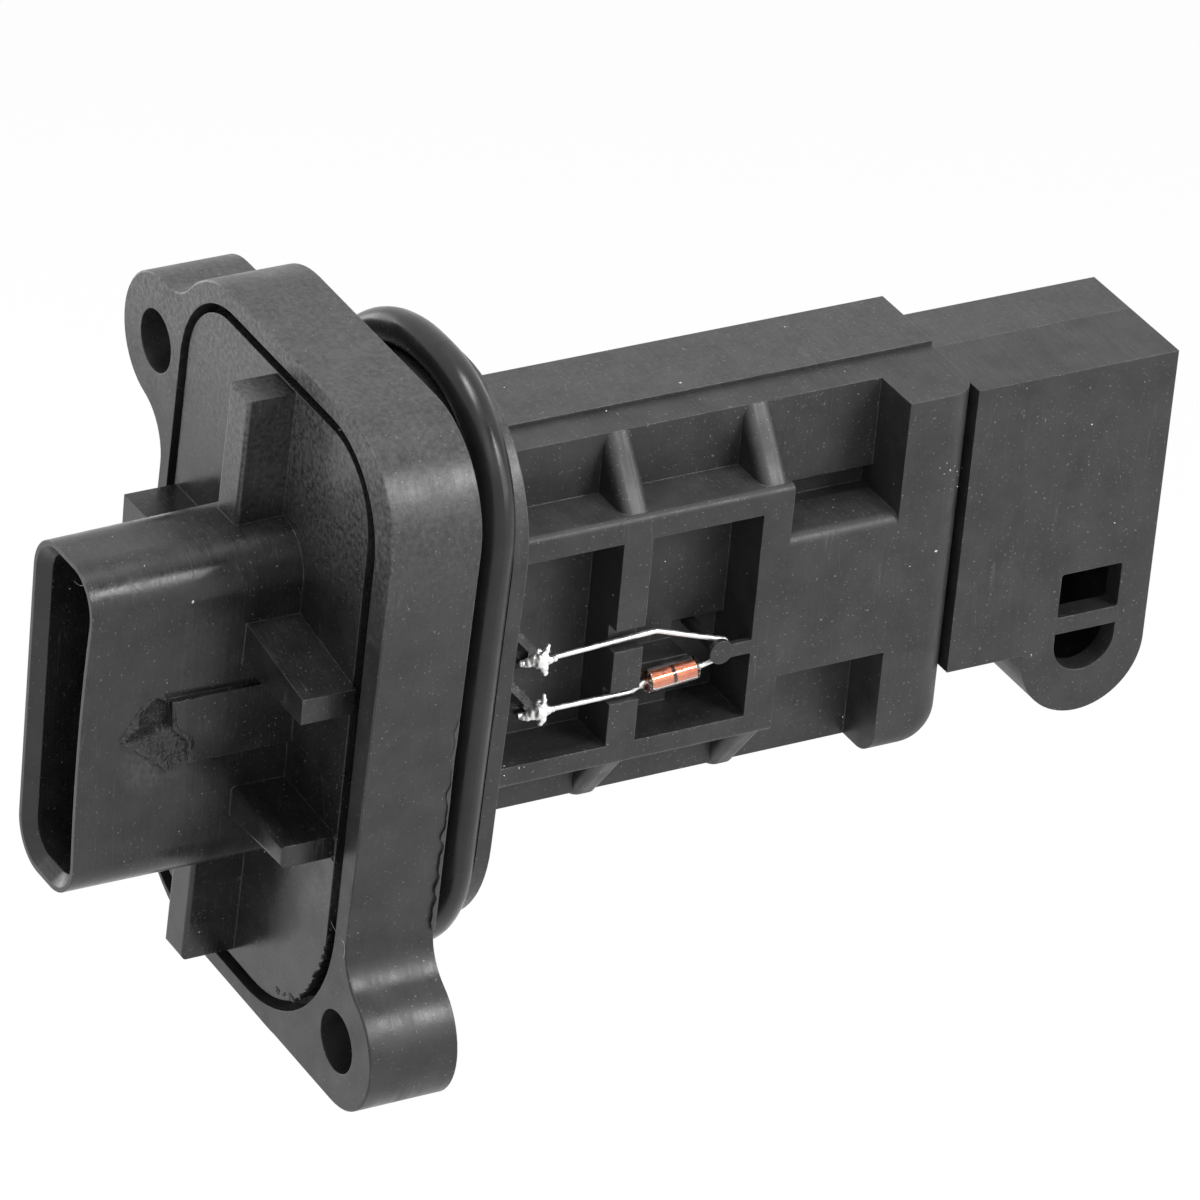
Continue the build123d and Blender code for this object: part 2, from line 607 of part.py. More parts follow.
# Near half of the probe: panel, window frame, pockets, ribs, tip and hook post
FRONT = NEAR_DEPTH - PANEL_DEPTH
SHELF_END = WINDOW_TWO_START + SHELF_LENGTH
NECK_DEPTH = WIRE_DEPTH + WIRE_DIAMETER / 2
wire_notches = ((UPPER_LEAD_LEVEL, UPPER_NOTCH_ABOVE), (LOWER_LEAD_LEVEL, LOWER_NOTCH_ABOVE))
with BuildPart() as probe_cover:
    with BuildSketch(Plane.XZ):
        add(block_outline(PROBE_START, TIP_START, BODY_BOTTOM, COVER_TOP))
    extrude(amount=PANEL_DEPTH)
    with BuildSketch(Plane.XZ.offset(PANEL_DEPTH)):
        add(block_outline(PROBE_START, POCKET_START, FRAME_BOTTOM, FRAME_TOP))
        add(block_outline(POCKET_START, TIP_START, NOTCH_TOP, LEDGE_TOP))
        add(block_outline(BLOCK_START, TIP_START, BODY_BOTTOM, COVER_TOP))
        add(block_outline(PROBE_START, BAR_ONE, WINDOW_BOTTOM, WINDOW_TOP), mode=Mode.SUBTRACT)
        add(block_outline(WINDOW_TWO_START, BAR_TWO, WINDOW_BOTTOM, WINDOW_TOP), mode=Mode.SUBTRACT)
    extrude(amount=FRONT)
    ledge_middle = (POCKET_START + BLOCK_START) / 2
    edge_radii = (
        (Axis.X, (BAR_ONE, -NEAR_DEPTH, FRAME_TOP), FRAME_EDGE),
        (Axis.X, (BAR_ONE, -NEAR_DEPTH, FRAME_BOTTOM), FRAME_EDGE),
        (Axis.X, (ledge_middle, -NEAR_DEPTH, LEDGE_TOP), LEDGE_EDGE),
        (Axis.Y, (TIP_START, -NEAR_DEPTH, BODY_BOTTOM), END_CORNER),
        (Axis.X, (BLOCK_START, -NEAR_DEPTH, BODY_BOTTOM), BLOCK_EDGE),
    )
    for axis, place, radius in edge_radii:
        fillet(probe_cover.edges().filter_by(axis).sort_by_distance(place)[0], radius)
    for start in (BAR_ONE, BAR_TWO):
        add(rib(start, FRAME_TOP, COVER_TOP))
        add(rib(start, FRAME_BOTTOM, BODY_BOTTOM - RIB_DROP))
    with BuildSketch(Plane.XZ):
        add(tip_outline())
    extrude(amount=NEAR_DEPTH - TIP_NEAR_STEP)
    with BuildSketch(Plane.XZ):
        add(channel_outline())
    extrude(amount=NEAR_DEPTH - TIP_NEAR_STEP - TIP_WALL, mode=Mode.SUBTRACT)
    with BuildSketch(Plane.XZ):
        add(exit_outlines())
    extrude(amount=NEAR_DEPTH, mode=Mode.SUBTRACT)
    with BuildSketch(Plane.XZ):
        add(block_outline(CAVITY_START, BAR_TWO, CAVITY_BOTTOM, CAVITY_TOP))
    extrude(amount=PANEL_DEPTH - BODY_WALL, mode=Mode.SUBTRACT)
    with BuildSketch(Plane.XZ.offset(PANEL_DEPTH - SLOT_DEPTH)):
        add(block_outline(POCKET_START, BLOCK_START, LEDGE_TOP, LEDGE_TOP + SLOT_HEIGHT))
    extrude(amount=SLOT_DEPTH, mode=Mode.SUBTRACT)
    with BuildSketch(Plane.XZ.offset(PANEL_DEPTH - WELL_DEPTH)):
        add(block_outline(SHELF_END, BAR_TWO, WINDOW_BOTTOM, WELL_TOP))
    extrude(amount=WELL_DEPTH, mode=Mode.SUBTRACT)
    with BuildSketch(Plane.XZ.offset(PANEL_DEPTH)):
        add(block_outline(WINDOW_TWO_START, SHELF_END, SHELF_TOP - SHELF_THICKNESS, SHELF_TOP))
    extrude(amount=WIRE_DEPTH - GLASS_DIAMETER / 2 - SHELF_GAP - PANEL_DEPTH)
    with BuildSketch(Plane.XZ.offset(PANEL_DEPTH - WELL_DEPTH)):
        with Locations(POST_CENTRE):
            Circle(POST_NECK)
    extrude(amount=NECK_DEPTH + WIRE_GAP - PANEL_DEPTH + WELL_DEPTH)
    with BuildSketch(Plane.XZ.offset(NECK_DEPTH + WIRE_GAP)):
        with Locations(POST_CENTRE):
            Circle(POST_HEAD)
        arm_bottom = POST_CENTRE[1] - ARM_HEIGHT / 2
        add(block_outline(POST_CENTRE[0], BAR_TWO, arm_bottom, arm_bottom + ARM_HEIGHT))
    extrude(amount=POST_HEAD_THICKNESS)
    for level, above in wire_notches:
        with BuildSketch(Plane.XZ.offset(WIRE_DEPTH - WIRE_DIAMETER)):
            add(block_outline(BAR_ONE, WINDOW_TWO_START, level - WIRE_NOTCH_BELOW, level + above))
        extrude(amount=NEAR_DEPTH, mode=Mode.SUBTRACT)
    with BuildSketch(Plane.XZ):
        for level in (UPPER_LEAD_LEVEL, LOWER_LEAD_LEVEL):
            with Locations((TERMINAL_X, level)):
                Rectangle(TERMINAL_WIDTH, TERMINAL_THICKNESS)
    extrude(amount=PANEL_DEPTH, mode=Mode.SUBTRACT)

# Terminals from the board out through the panel
terminals = []
for level in (UPPER_LEAD_LEVEL, LOWER_LEAD_LEVEL):
    with BuildPart() as terminal:
        with BuildSketch(Plane.XZ.offset(-BOARD_NEAR)):
            with Locations((TERMINAL_X, level)):
                Rectangle(TERMINAL_WIDTH, TERMINAL_THICKNESS)
        extrude(amount=BOARD_NEAR + WIRE_DEPTH - WIRE_DIAMETER / 2)
    terminals.append(terminal)

# Glass element with its two slugs and the chip between them
glass_plane = Plane(origin=(GLASS_CENTRE[0], -WIRE_DEPTH, GLASS_CENTRE[1]),
                    z_dir=(math.cos(math.radians(GLASS_TURN)), 0, math.sin(math.radians(GLASS_TURN))))
with BuildPart() as thermistor_chip:
    with BuildSketch(glass_plane.offset(-CHIP_THICKNESS / 2)):
        Rectangle(SLUG_DIAMETER / 2, SLUG_DIAMETER / 2)
    extrude(amount=CHIP_THICKNESS)
slugs = []
for start in (-CHIP_THICKNESS / 2 - SLUG_LENGTH, CHIP_THICKNESS / 2):
    with BuildPart() as slug:
        with BuildSketch(glass_plane.offset(start)):
            Circle(SLUG_DIAMETER / 2)
        extrude(amount=SLUG_LENGTH)
    slugs.append(slug)
with BuildPart() as thermistor_glass:
    with BuildSketch(glass_plane.offset(-GLASS_LENGTH / 2)):
        Circle(GLASS_DIAMETER / 2)
    extrude(amount=GLASS_LENGTH)
    fillet(thermistor_glass.edges(), GLASS_EDGE)
    with BuildSketch(glass_plane.offset(-SLUG_LENGTH - CHIP_THICKNESS / 2)):
        Circle(SLUG_DIAMETER / 2 + SKIN_GAP)
    extrude(amount=2 * SLUG_LENGTH + CHIP_THICKNESS, mode=Mode.SUBTRACT)
    with BuildSketch(glass_plane.offset(-GLASS_LENGTH / 2)):
        Circle(WIRE_DIAMETER / 2 + SKIN_GAP)
    extrude(amount=GLASS_LENGTH, mode=Mode.SUBTRACT)

# Wires in the plane of the leads
wire_plane = Plane(origin=(0, -WIRE_DEPTH, 0), x_dir=(1, 0, 0), z_dir=(0, -1, 0))
slug_end = SLUG_LENGTH + CHIP_THICKNESS / 2


def along_glass(distance):
    """Return the point on the glass element's axis at a distance from its middle, as X and Z."""
    turn = math.radians(GLASS_TURN)
    return (GLASS_CENTRE[0] + distance * math.cos(turn), GLASS_CENTRE[1] + distance * math.sin(turn))


def round_wire(points, radii):
    """Return a round wire along straight runs with rounded bends, in the plane of the leads."""
    with BuildPart() as wire:
        with BuildLine(wire_plane) as route:
            FilletPolyline(*points, radius=radii)
        with BuildSketch(Plane(origin=route.line @ 0, z_dir=route.line % 0)):
            Circle(WIRE_DIAMETER / 2)
        sweep(path=route.line)
    return wire


HOOK = POST_NECK + WIRE_DIAMETER / 2 + SKIN_GAP
hook_x = POST_CENTRE[0] + HOOK
lead_start = TERMINAL_X - LEAD_TAIL
solder_end = TERMINAL_X + SOLDER_DIAMETER
lower_route = [
    along_glass(-slug_end),
    along_glass(-slug_end - KNEE_EXIT),
    (KNEE_X, LOWER_LEAD_LEVEL),
    (lead_start, LOWER_LEAD_LEVEL),
]
upper_route = [
    along_glass(slug_end),
    along_glass(slug_end + GLASS_EXIT),
    (hook_x, POST_CENTRE[1] - HOOK),
    (hook_x, POST_CENTRE[1] + HOOK * HOOK_RISE),
    (CREST_X, UPPER_LEAD_LEVEL + CREST_RISE),
    (solder_end, UPPER_LEAD_LEVEL),
    (lead_start, UPPER_LEAD_LEVEL),
]
lower_lead = round_wire(lower_route, [TIGHT_BEND, KNEE_BEND])
upper_lead = round_wire(upper_route, [TIGHT_BEND, TIGHT_BEND, TIGHT_BEND, WIRE_BEND / 2, WIRE_BEND])

# Solder drums round the wires, notched where the terminals end against the wires
solders = []
for level, terminal in zip((UPPER_LEAD_LEVEL, LOWER_LEAD_LEVEL), terminals):
    drum_start = Plane(origin=(TERMINAL_X - SOLDER_DIAMETER / 2, -WIRE_DEPTH, level), z_dir=(1, 0, 0))
    with BuildPart() as solder:
        with BuildSketch(drum_start):
            Circle(SOLDER_DIAMETER / 2)
        extrude(amount=SOLDER_DIAMETER)
        chamfer(solder.edges(), SOLDER_DIAMETER / 4)
        with BuildSketch(drum_start):
            Circle(WIRE_DIAMETER / 2)
        extrude(amount=SOLDER_DIAMETER, mode=Mode.SUBTRACT)
        add(terminal.part, mode=Mode.SUBTRACT)
    solders.append(solder)

# Adhesive webs between the lip and the terminals
adhesives = []
WEB_END = TERMINAL_X - TERMINAL_WIDTH / 2
for level in (UPPER_LEAD_LEVEL, LOWER_LEAD_LEVEL):
    crest = (PROBE_START + WEB_CREST, level + WEB_TOP)
    web_corner = (WEB_END, level + WEB_HALF)
    with BuildPart() as adhesive:
        with BuildSketch(Plane.XZ.offset(PANEL_DEPTH)):
            with BuildLine():
                Polyline(crest, (PROBE_START, level + WEB_TOP), (PROBE_START, level - WEB_HALF),
                         (WEB_END, level - WEB_HALF), web_corner)
                RadiusArc(web_corner, crest, WEB_ROUND)
            make_face()
        extrude(amount=WIRE_DEPTH - WIRE_DIAMETER - PANEL_DEPTH)
    adhesives.append(adhesive)

# Parts on the near face of the board: name, X, Z, length, height, thickness
BOARD_PARTS = (
    ("control_chip", 20.5, 4.5, 7.0, 7.0, 1.2),
    ("memory_chip", 20.5, -5.5, 4.4, 3.6, 1.0),
    ("capacitor_1", 15.4, 10.5, 2.0, 1.3, 1.0),
    ("capacitor_2", 15.4, 6.5, 2.0, 1.3, 1.0),
    ("capacitor_3", 15.4, -6.0, 2.0, 1.3, 1.0),
    ("resistor_1", 27.0, 10.0, 1.6, 0.9, 0.5),
    ("resistor_2", 27.0, 5.0, 1.6, 0.9, 0.5),
    ("resistor_3", 27.0, -3.0, 1.6, 0.9, 0.5),
)
board_parts = []
for name, x, z, length, height, thickness in BOARD_PARTS:
    with BuildPart() as chip:
        with BuildSketch(Plane.XZ.offset(-BOARD_NEAR)):
            with Locations((x, z)):
                Rectangle(length, height)
        extrude(amount=thickness)
    board_parts.append((name, chip))

# Heated film chip on the carrier, in the rising leg of the channel
with BuildPart() as flow_element:
    with BuildSketch(Plane.XZ):
        with Locations((CHANNEL_START + FILM_INSET, CARRIER_LEVEL)):
            Rectangle(FILM_LENGTH, FILM_HEIGHT)
    extrude(amount=FILM_THICKNESS)

named_parts = [
    ("flange_housing", flange_housing),
    ("connector_header", connector_header),
    ("header_sealant", header_sealant),
    ("o_ring", o_ring),
    ("probe_cover", probe_cover),
    ("thermistor_glass", thermistor_glass),
    ("thermistor_slug_left", slugs[0]),
    ("thermistor_slug_right", slugs[1]),
    ("thermistor_chip", thermistor_chip),
    ("upper_lead", upper_lead),
    ("lower_lead", lower_lead),
    ("upper_solder", solders[0]),
    ("lower_solder", solders[1]),
    ("upper_adhesive", adhesives[0]),
    ("lower_adhesive", adhesives[1]),
    ("upper_terminal", terminals[0]),
    ("lower_terminal", terminals[1]),
    ("circuit_board", circuit_board),
    ("sensor_carrier", sensor_carrier),
    ("flow_element", flow_element),
]
named_parts += [(f"connector_pin_{index + 1}", pin) for index, pin in enumerate(pins)]
named_parts += board_parts

os.makedirs("parts", exist_ok=True)
for name, piece in named_parts:
    piece.part.label = name
    export_step(piece.part, f"parts/{name}.step")
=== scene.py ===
"""Dresses the mass airflow sensor: black plastic, rubber seal, bare wires, solder and a studio stage."""
import math
import random

import bmesh
import bpy
from bpy.props import FloatProperty, FloatVectorProperty, IntProperty, PointerProperty
from mathutils import Matrix, Quaternion, Vector, noise
from mathutils.bvhtree import BVHTree


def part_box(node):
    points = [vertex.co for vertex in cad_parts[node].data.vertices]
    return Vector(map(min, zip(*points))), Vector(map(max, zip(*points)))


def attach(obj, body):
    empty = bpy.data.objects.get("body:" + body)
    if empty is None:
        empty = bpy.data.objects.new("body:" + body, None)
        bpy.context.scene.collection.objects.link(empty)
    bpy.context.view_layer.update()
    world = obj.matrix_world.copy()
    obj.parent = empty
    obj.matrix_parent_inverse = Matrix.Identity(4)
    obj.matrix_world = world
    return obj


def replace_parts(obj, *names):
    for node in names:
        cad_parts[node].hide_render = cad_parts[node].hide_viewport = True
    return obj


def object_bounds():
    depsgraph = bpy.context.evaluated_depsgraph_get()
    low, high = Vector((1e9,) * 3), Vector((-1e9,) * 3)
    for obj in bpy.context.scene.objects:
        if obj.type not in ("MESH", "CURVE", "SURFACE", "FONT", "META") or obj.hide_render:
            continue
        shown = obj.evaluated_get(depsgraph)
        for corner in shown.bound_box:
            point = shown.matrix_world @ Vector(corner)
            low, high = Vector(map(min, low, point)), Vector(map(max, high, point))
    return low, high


bl_info = {
    "name": "Mass Airflow Sensor",
    "version": (1, 0, 0),
    "blender": (4, 5, 0),
    "location": "View3D > Sidebar > Sensor",
    "description": "Finishes and small details of a plug-in mass airflow sensor",
    "category": "Object",
}

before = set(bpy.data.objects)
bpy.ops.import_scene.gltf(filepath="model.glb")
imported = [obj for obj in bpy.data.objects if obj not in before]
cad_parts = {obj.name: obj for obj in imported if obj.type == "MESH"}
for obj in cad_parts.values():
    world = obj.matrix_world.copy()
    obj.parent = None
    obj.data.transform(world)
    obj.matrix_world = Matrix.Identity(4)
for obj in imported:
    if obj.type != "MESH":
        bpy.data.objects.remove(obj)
CAD_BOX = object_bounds()
MM = 0.001
# Places in the picture are counted in steps from its top left corner, and it is 1200 steps wide.
# The lens stands 9500 of those steps in front of it. The three directions are the camera's own axes.
PICTURE_MIDDLE = 600.0
LENS_STEPS = 9500.0
SIGHT_BACK = Vector((-0.45412, -0.73445, 0.50434)).normalized()
SIGHT_UP = SIGHT_BACK.cross(Vector((0.87172, -0.48323, 0.0812))).normalized()
SIGHT_RIGHT = SIGHT_UP.cross(SIGHT_BACK)
# The flange's back face, which seats on the air duct
SEAT_X = 0.0
# The three mouldings and the slots of their plastic
MOULDINGS = {"flange_housing": "housing_plastic", "connector_header": "header_plastic",
             "probe_cover": "cover_plastic"}
# Noise scales of the moulded plastic, in cells a metre
MOTTLE_SCALE = 330
FILM_SCALE = 2400
FLECK_SCALE = 5600
SCUFF_SCALE = 170
SCRATCH_SCALE = 900
WEAR_SCALE = 700
BRUSH_SCALE = 5200
BLOTCH_SCALE = 420
STROKE_SCALE = 4200
GRAIN_SCALE = 3600
# A height above the whole sensor, in metres, for a moulding that has no dusty film and no painted light on
# its upper end
NO_DUST_OR_LIGHT = 0.1
# The dusty film and its painted light fade in over this rise, in metres
DUST_AND_LIGHT_RISE = 0.010


class PlasticSettings(bpy.types.PropertyGroup):
    """Colours and grain of the moulded plastic."""

    body_colour: FloatVectorProperty(
        name="Body Colour", description="Body colour of the moulded plastic", subtype="COLOR", size=4,
        default=(0.020, 0.020, 0.0205, 1.0), min=0, max=1)
    fleck_colour: FloatVectorProperty(
        name="Fleck Colour", description="Colour of the glass fibre flecks", subtype="COLOR", size=4,
        default=(0.22, 0.22, 0.22, 1.0), min=0, max=1)
    # Lighter colour for scratches and edges; on the edges it is partly wear and partly a painted highlight
    worn_and_edge_light_colour: FloatVectorProperty(
        name="Worn Colour", description="Colour of rubbed edges and scratches", subtype="COLOR", size=4,
        default=(0.13, 0.13, 0.13, 1.0), min=0, max=1)
    # Colour of the dusty film on the upper end, which also serves as painted light there, most on faces
    # turned to -X
    dust_and_light_colour: FloatVectorProperty(
        name="Haze Colour", description="Colour of the dusty film on the upper end", subtype="COLOR", size=4,
        default=(0.150, 0.150, 0.151, 1.0), min=0, max=1)
    grain_depth: FloatProperty(
        name="Grain Depth", description="Height of the fine surface grain", default=0.000012, unit="LENGTH")
    edge_radius: FloatProperty(
        name="Edge Radius", description="Softness of the moulded edges", default=0.00012, unit="LENGTH")


class SealSettings(bpy.types.PropertyGroup):
    """Rubber ring and cured sealant."""

    rubber_colour: FloatVectorProperty(
        name="Rubber Colour", description="Colour of the rubber ring", subtype="COLOR", size=4,
        default=(0.012, 0.012, 0.013, 1.0), min=0, max=1)
    rubber_roughness: FloatProperty(
        name="Rubber Roughness", description="How dull the oiled rubber is", default=0.24, min=0, max=1)


class ElementSettings(bpy.types.PropertyGroup):
    """Glass element, wires and solder."""

    copper_colour: FloatVectorProperty(
        name="Slug Colour", description="Copper orange of the slugs", subtype="COLOR", size=4,
        default=(0.80, 0.27, 0.15, 1.0), min=0, max=1)
    tin_colour: FloatVectorProperty(
        name="Tin Colour", description="Colour of the tinned wire and solder", subtype="COLOR", size=4,
        default=(0.86, 0.86, 0.85, 1.0), min=0, max=1)


class DebrisSettings(bpy.types.PropertyGroup):
    """Dust, burrs and torn plastic."""

    dust_count: IntProperty(
        name="Dust Count", description="Crumbs of dust on each moulding", default=120, min=0)
    dust_size: FloatProperty(
        name="Dust Size", description="Width of a common crumb of dust", default=0.00007, unit="LENGTH")
    burr_reach: FloatProperty(
        name="Burr Reach", description="How far the flash on the flange folds over", default=0.00040,
        unit="LENGTH")
    tear_depth: FloatProperty(
        name="Tear Depth", description="Height of the torn plastic where the rail broke off", default=0.00042,
        unit="LENGTH")


class StageSettings(bpy.types.PropertyGroup):
    """Camera and lamps."""

    lens: FloatProperty(name="Lens", description="Focal length in millimetres", default=285.0, min=10)
    camera_place: FloatVectorProperty(
        name="Camera Place", description="Where the camera stands", subtype="TRANSLATION", size=3,
        default=(-0.29241, -0.50836, 0.35037), unit="LENGTH")
    top_power: FloatProperty(
        name="Top Power", description="Power of the lamp overhead", default=3.4, unit="POWER")
    near_power: FloatProperty(
        name="Near Power", description="Power of the lamp high on the near right", default=3.0, unit="POWER")
    side_power: FloatProperty(
        name="Side Power", description="Power of the low lamp on the near right", default=1.5, unit="POWER")
    front_power: FloatProperty(
        name="Front Power", description="Power of the lamp over the camera", default=0.7, unit="POWER")
    card_power: FloatProperty(
        name="Card Power", description="Power of the low card on the far left", default=0.28, unit="POWER")
    room_level: FloatProperty(
        name="Room Level", description="Light from the pale room", default=0.5, min=0)
    floor_drop: FloatProperty(
        name="Floor Drop", description="Distance from the origin down to the floor", default=0.12,
        unit="LENGTH")


def new_material(name):
    """Return a fresh node material with its tree and its main shader."""
    material = bpy.data.materials.new(name)
    material.use_nodes = True
    return material, material.node_tree, material.node_tree.nodes["Principled BSDF"]


def add_node(tree, kind, **values):
    """Add a node, set its properties and its numbered or named inputs."""
    node = tree.nodes.new(kind)
    for key, value in values.items():
        if key.startswith("in_"):
            name = key[3:]
            node.inputs[int(name) if name.isdigit() else name.replace("_", " ").title()].default_value = value
        else:
            setattr(node, key, value)
    return node


def object_coordinates(tree, scale=(1, 1, 1), turn=(0, 0, 0)):
    """Return an output with the piece's own coordinates, turned and then stretched by scale."""
    source = add_node(tree, "ShaderNodeTexCoord")
    mapping = add_node(tree, "ShaderNodeMapping", in_scale=scale, in_rotation=turn)
    tree.links.new(source.outputs["Object"], mapping.inputs["Vector"])
    return mapping.outputs["Vector"]


def noise_field(tree, vector, scale, detail=3.0, roughness=0.5):
    """Return the value output of a noise texture."""
    field = add_node(tree, "ShaderNodeTexNoise", in_scale=scale, in_detail=detail, in_roughness=roughness)
    tree.links.new(vector, field.inputs["Vector"])
    return field.outputs["Fac"]


def remap(tree, value, low, high, new_low, new_high):
    """Return value moved from one range to another and clamped."""
    node = add_node(tree, "ShaderNodeMapRange", clamp=True)
    for socket, number in zip(("From Min", "From Max", "To Min", "To Max"), (low, high, new_low, new_high)):
        node.inputs[socket].default_value = number
    tree.links.new(value, node.inputs["Value"])
    return node.outputs["Result"]


def mixed(tree, factor, first, second):
    """Return a colour between two, each a colour or an output."""
    node = add_node(tree, "ShaderNodeMix", data_type="RGBA")
    tree.links.new(factor, node.inputs["Factor"])
    for socket, value in ((node.inputs[6], first), (node.inputs[7], second)):
        if isinstance(value, bpy.types.NodeSocket):
            tree.links.new(value, socket)
        else:
            socket.default_value = value
    return node.outputs[2]


def scaled(colour, factor):
    """Return a colour made lighter or darker."""
    return (colour[0] * factor, colour[1] * factor, colour[2] * factor, 1.0)


def combined(tree, operation, first, second):
    """Return the result of one sum on two values, each a number or an output."""
    node = add_node(tree, "ShaderNodeMath", operation=operation)
    for socket, value in zip(node.inputs, (first, second)):
        if isinstance(value, bpy.types.NodeSocket):
            tree.links.new(value, socket)
        else:
            socket.default_value = value
    return node.outputs[0]


def hairlines(tree, vector, scale, width):
    """Return thin wandering lines, the level lines of a noise."""
    level = combined(tree, "SUBTRACT", noise_field(tree, vector, scale, 2, 0.4), 0.5)
    return remap(tree, combined(tree, "ABSOLUTE", level, 0.0), 0.0, width, 1.0, 0.0)


def moulded_plastic(name, tone=1.0, roughness=0.40, dust_and_light_from=0.013, scuffs=0.3, rubbed_and_lit_spots=()):
    """Return black glass-filled plastic.

    It has mottle, fibre flecks, brush marks, rubbed edges with a painted highlight along them, a dusty film
    above a given height that also paints light, strongest on faces turned to -X, and rubbed spots, some of
    which are painted light.
    """
    plastic = bpy.context.scene.plastic
    material, tree, shader = new_material(name)
    body = scaled(plastic.body_colour, tone)
    worn_and_edge_light = tuple(plastic.worn_and_edge_light_colour)
    plain = object_coordinates(tree)
    wrapped = object_coordinates(tree, (1.0, 0.04, 0.04))
    slanted = object_coordinates(tree, (1.0, 0.16, 0.05), (0.5, 0.3, 0.9))
    mottle = remap(tree, noise_field(tree, plain, MOTTLE_SCALE, 5, 0.6), 0.34, 0.68, 0, 1)
    colour = mixed(tree, mottle, scaled(body, 0.72), scaled(body, 1.4))

    places = add_node(tree, "ShaderNodeSeparateXYZ")
    tree.links.new(plain, places.inputs[0])
    # Painted light and dust: the upper end is lightened with the dusty film
    rise = remap(tree, places.outputs["Z"], dust_and_light_from, dust_and_light_from + DUST_AND_LIGHT_RISE, 0, 1)
    film = remap(tree, noise_field(tree, plain, FILM_SCALE, 3, 0.7), 0.36, 0.66, 0.1, 1)
    facing = add_node(tree, "ShaderNodeNewGeometry")
    sides = add_node(tree, "ShaderNodeSeparateXYZ")
    tree.links.new(facing.outputs["True Normal"], sides.inputs[0])
    # Faces turned to -X get the most of this painted light
    lit_side = remap(tree, sides.outputs["X"], -0.9, 0.2, 1.0, 0.12)
    dust_and_light = combined(tree, "MULTIPLY", combined(tree, "MULTIPLY", rise, film), lit_side)
    # Spots get the same lighter tone; the spot on the plate's upper end is painted light
    for place, radius, share in rubbed_and_lit_spots:
        away = add_node(tree, "ShaderNodeVectorMath", operation="DISTANCE")
        tree.links.new(plain, away.inputs[0])
        away.inputs[1].default_value = [part * MM for part in place]
        ring = remap(tree, away.outputs["Value"], radius * 0.6 * MM, radius * MM, share, 0.0)
        dust_and_light = combined(tree, "MAXIMUM", dust_and_light, combined(tree, "MULTIPLY", ring, film))
    colour = mixed(tree, dust_and_light, colour, tuple(plastic.dust_and_light_colour))

    flecks = remap(tree, noise_field(tree, plain, FLECK_SCALE, 1), 0.70, 0.78, 0, 0.7)
    colour = mixed(tree, flecks, colour, tuple(plastic.fleck_colour))

    patches = remap(tree, noise_field(tree, plain, SCUFF_SCALE, 2), 0.50, 0.64, 0, scuffs)
    scratches = combined(tree, "MULTIPLY", patches, hairlines(tree, slanted, SCRATCH_SCALE, 0.006))
    colour = mixed(tree, scratches, colour, worn_and_edge_light)

    # Edges turn lighter: partly rubbed wear, partly a painted highlight along them
    soft = add_node(tree, "ShaderNodeBevel", samples=4, in_radius=plastic.edge_radius)
    turned = add_node(tree, "ShaderNodeVectorMath", operation="DOT_PRODUCT")
    tree.links.new(soft.outputs["Normal"], turned.inputs[0])
    tree.links.new(facing.outputs["True Normal"], turned.inputs[1])
    edge = remap(tree, turned.outputs["Value"], 0.98, 0.86, 0, 1)
    rubbed = remap(tree, noise_field(tree, plain, WEAR_SCALE, 4, 0.65), 0.38, 0.62, 0.05, 0.85)
    colour = mixed(tree, combined(tree, "MULTIPLY", edge, rubbed), colour, worn_and_edge_light)
    tree.links.new(colour, shader.inputs["Base Color"])

    brushed = remap(tree, noise_field(tree, wrapped, BRUSH_SCALE, 3, 0.6), 0.36, 0.64, -0.04, 0.06)
    blotch = remap(tree, noise_field(tree, plain, BLOTCH_SCALE, 3, 0.5), 0.35, 0.65,
                   roughness - 0.05, roughness + 0.06)
    tree.links.new(combined(tree, "ADD", blotch, brushed), shader.inputs["Roughness"])
    strokes = add_node(tree, "ShaderNodeBump", in_strength=0.06, in_distance=plastic.grain_depth)
    tree.links.new(noise_field(tree, wrapped, STROKE_SCALE, 2, 0.5), strokes.inputs["Height"])
    tree.links.new(soft.outputs["Normal"], strokes.inputs["Normal"])
    bump = add_node(tree, "ShaderNodeBump", in_strength=0.6, in_distance=plastic.grain_depth)
    tree.links.new(noise_field(tree, plain, GRAIN_SCALE, 3, 0.65), bump.inputs["Height"])
    tree.links.new(strokes.outputs["Normal"], bump.inputs["Normal"])
    tree.links.new(bump.outputs["Normal"], shader.inputs["Normal"])
    return material


def smooth_rubber(name, colour, roughness, shine=0.38, ripple=0.25):
    """Return oiled black rubber, sealant or adhesive with ripples in its skin."""
    material, tree, shader = new_material(name)
    shader.inputs["Specular IOR Level"].default_value = shine
    plain = object_coordinates(tree)
    tone = remap(tree, noise_field(tree, plain, 200, 3), 0.3, 0.7, 0, 1)
    tree.links.new(mixed(tree, tone, scaled(colour, 0.7), scaled(colour, 1.5)), shader.inputs["Base Color"])
    film = remap(tree, noise_field(tree, plain, 500, 4), 0.3, 0.7, roughness - 0.07, roughness + 0.12)
    tree.links.new(film, shader.inputs["Roughness"])
    bump = add_node(tree, "ShaderNodeBump", in_strength=ripple, in_distance=0.00004)
    tree.links.new(noise_field(tree, plain, 350, 2), bump.inputs["Height"])
    tree.links.new(bump.outputs["Normal"], shader.inputs["Normal"])
    return material


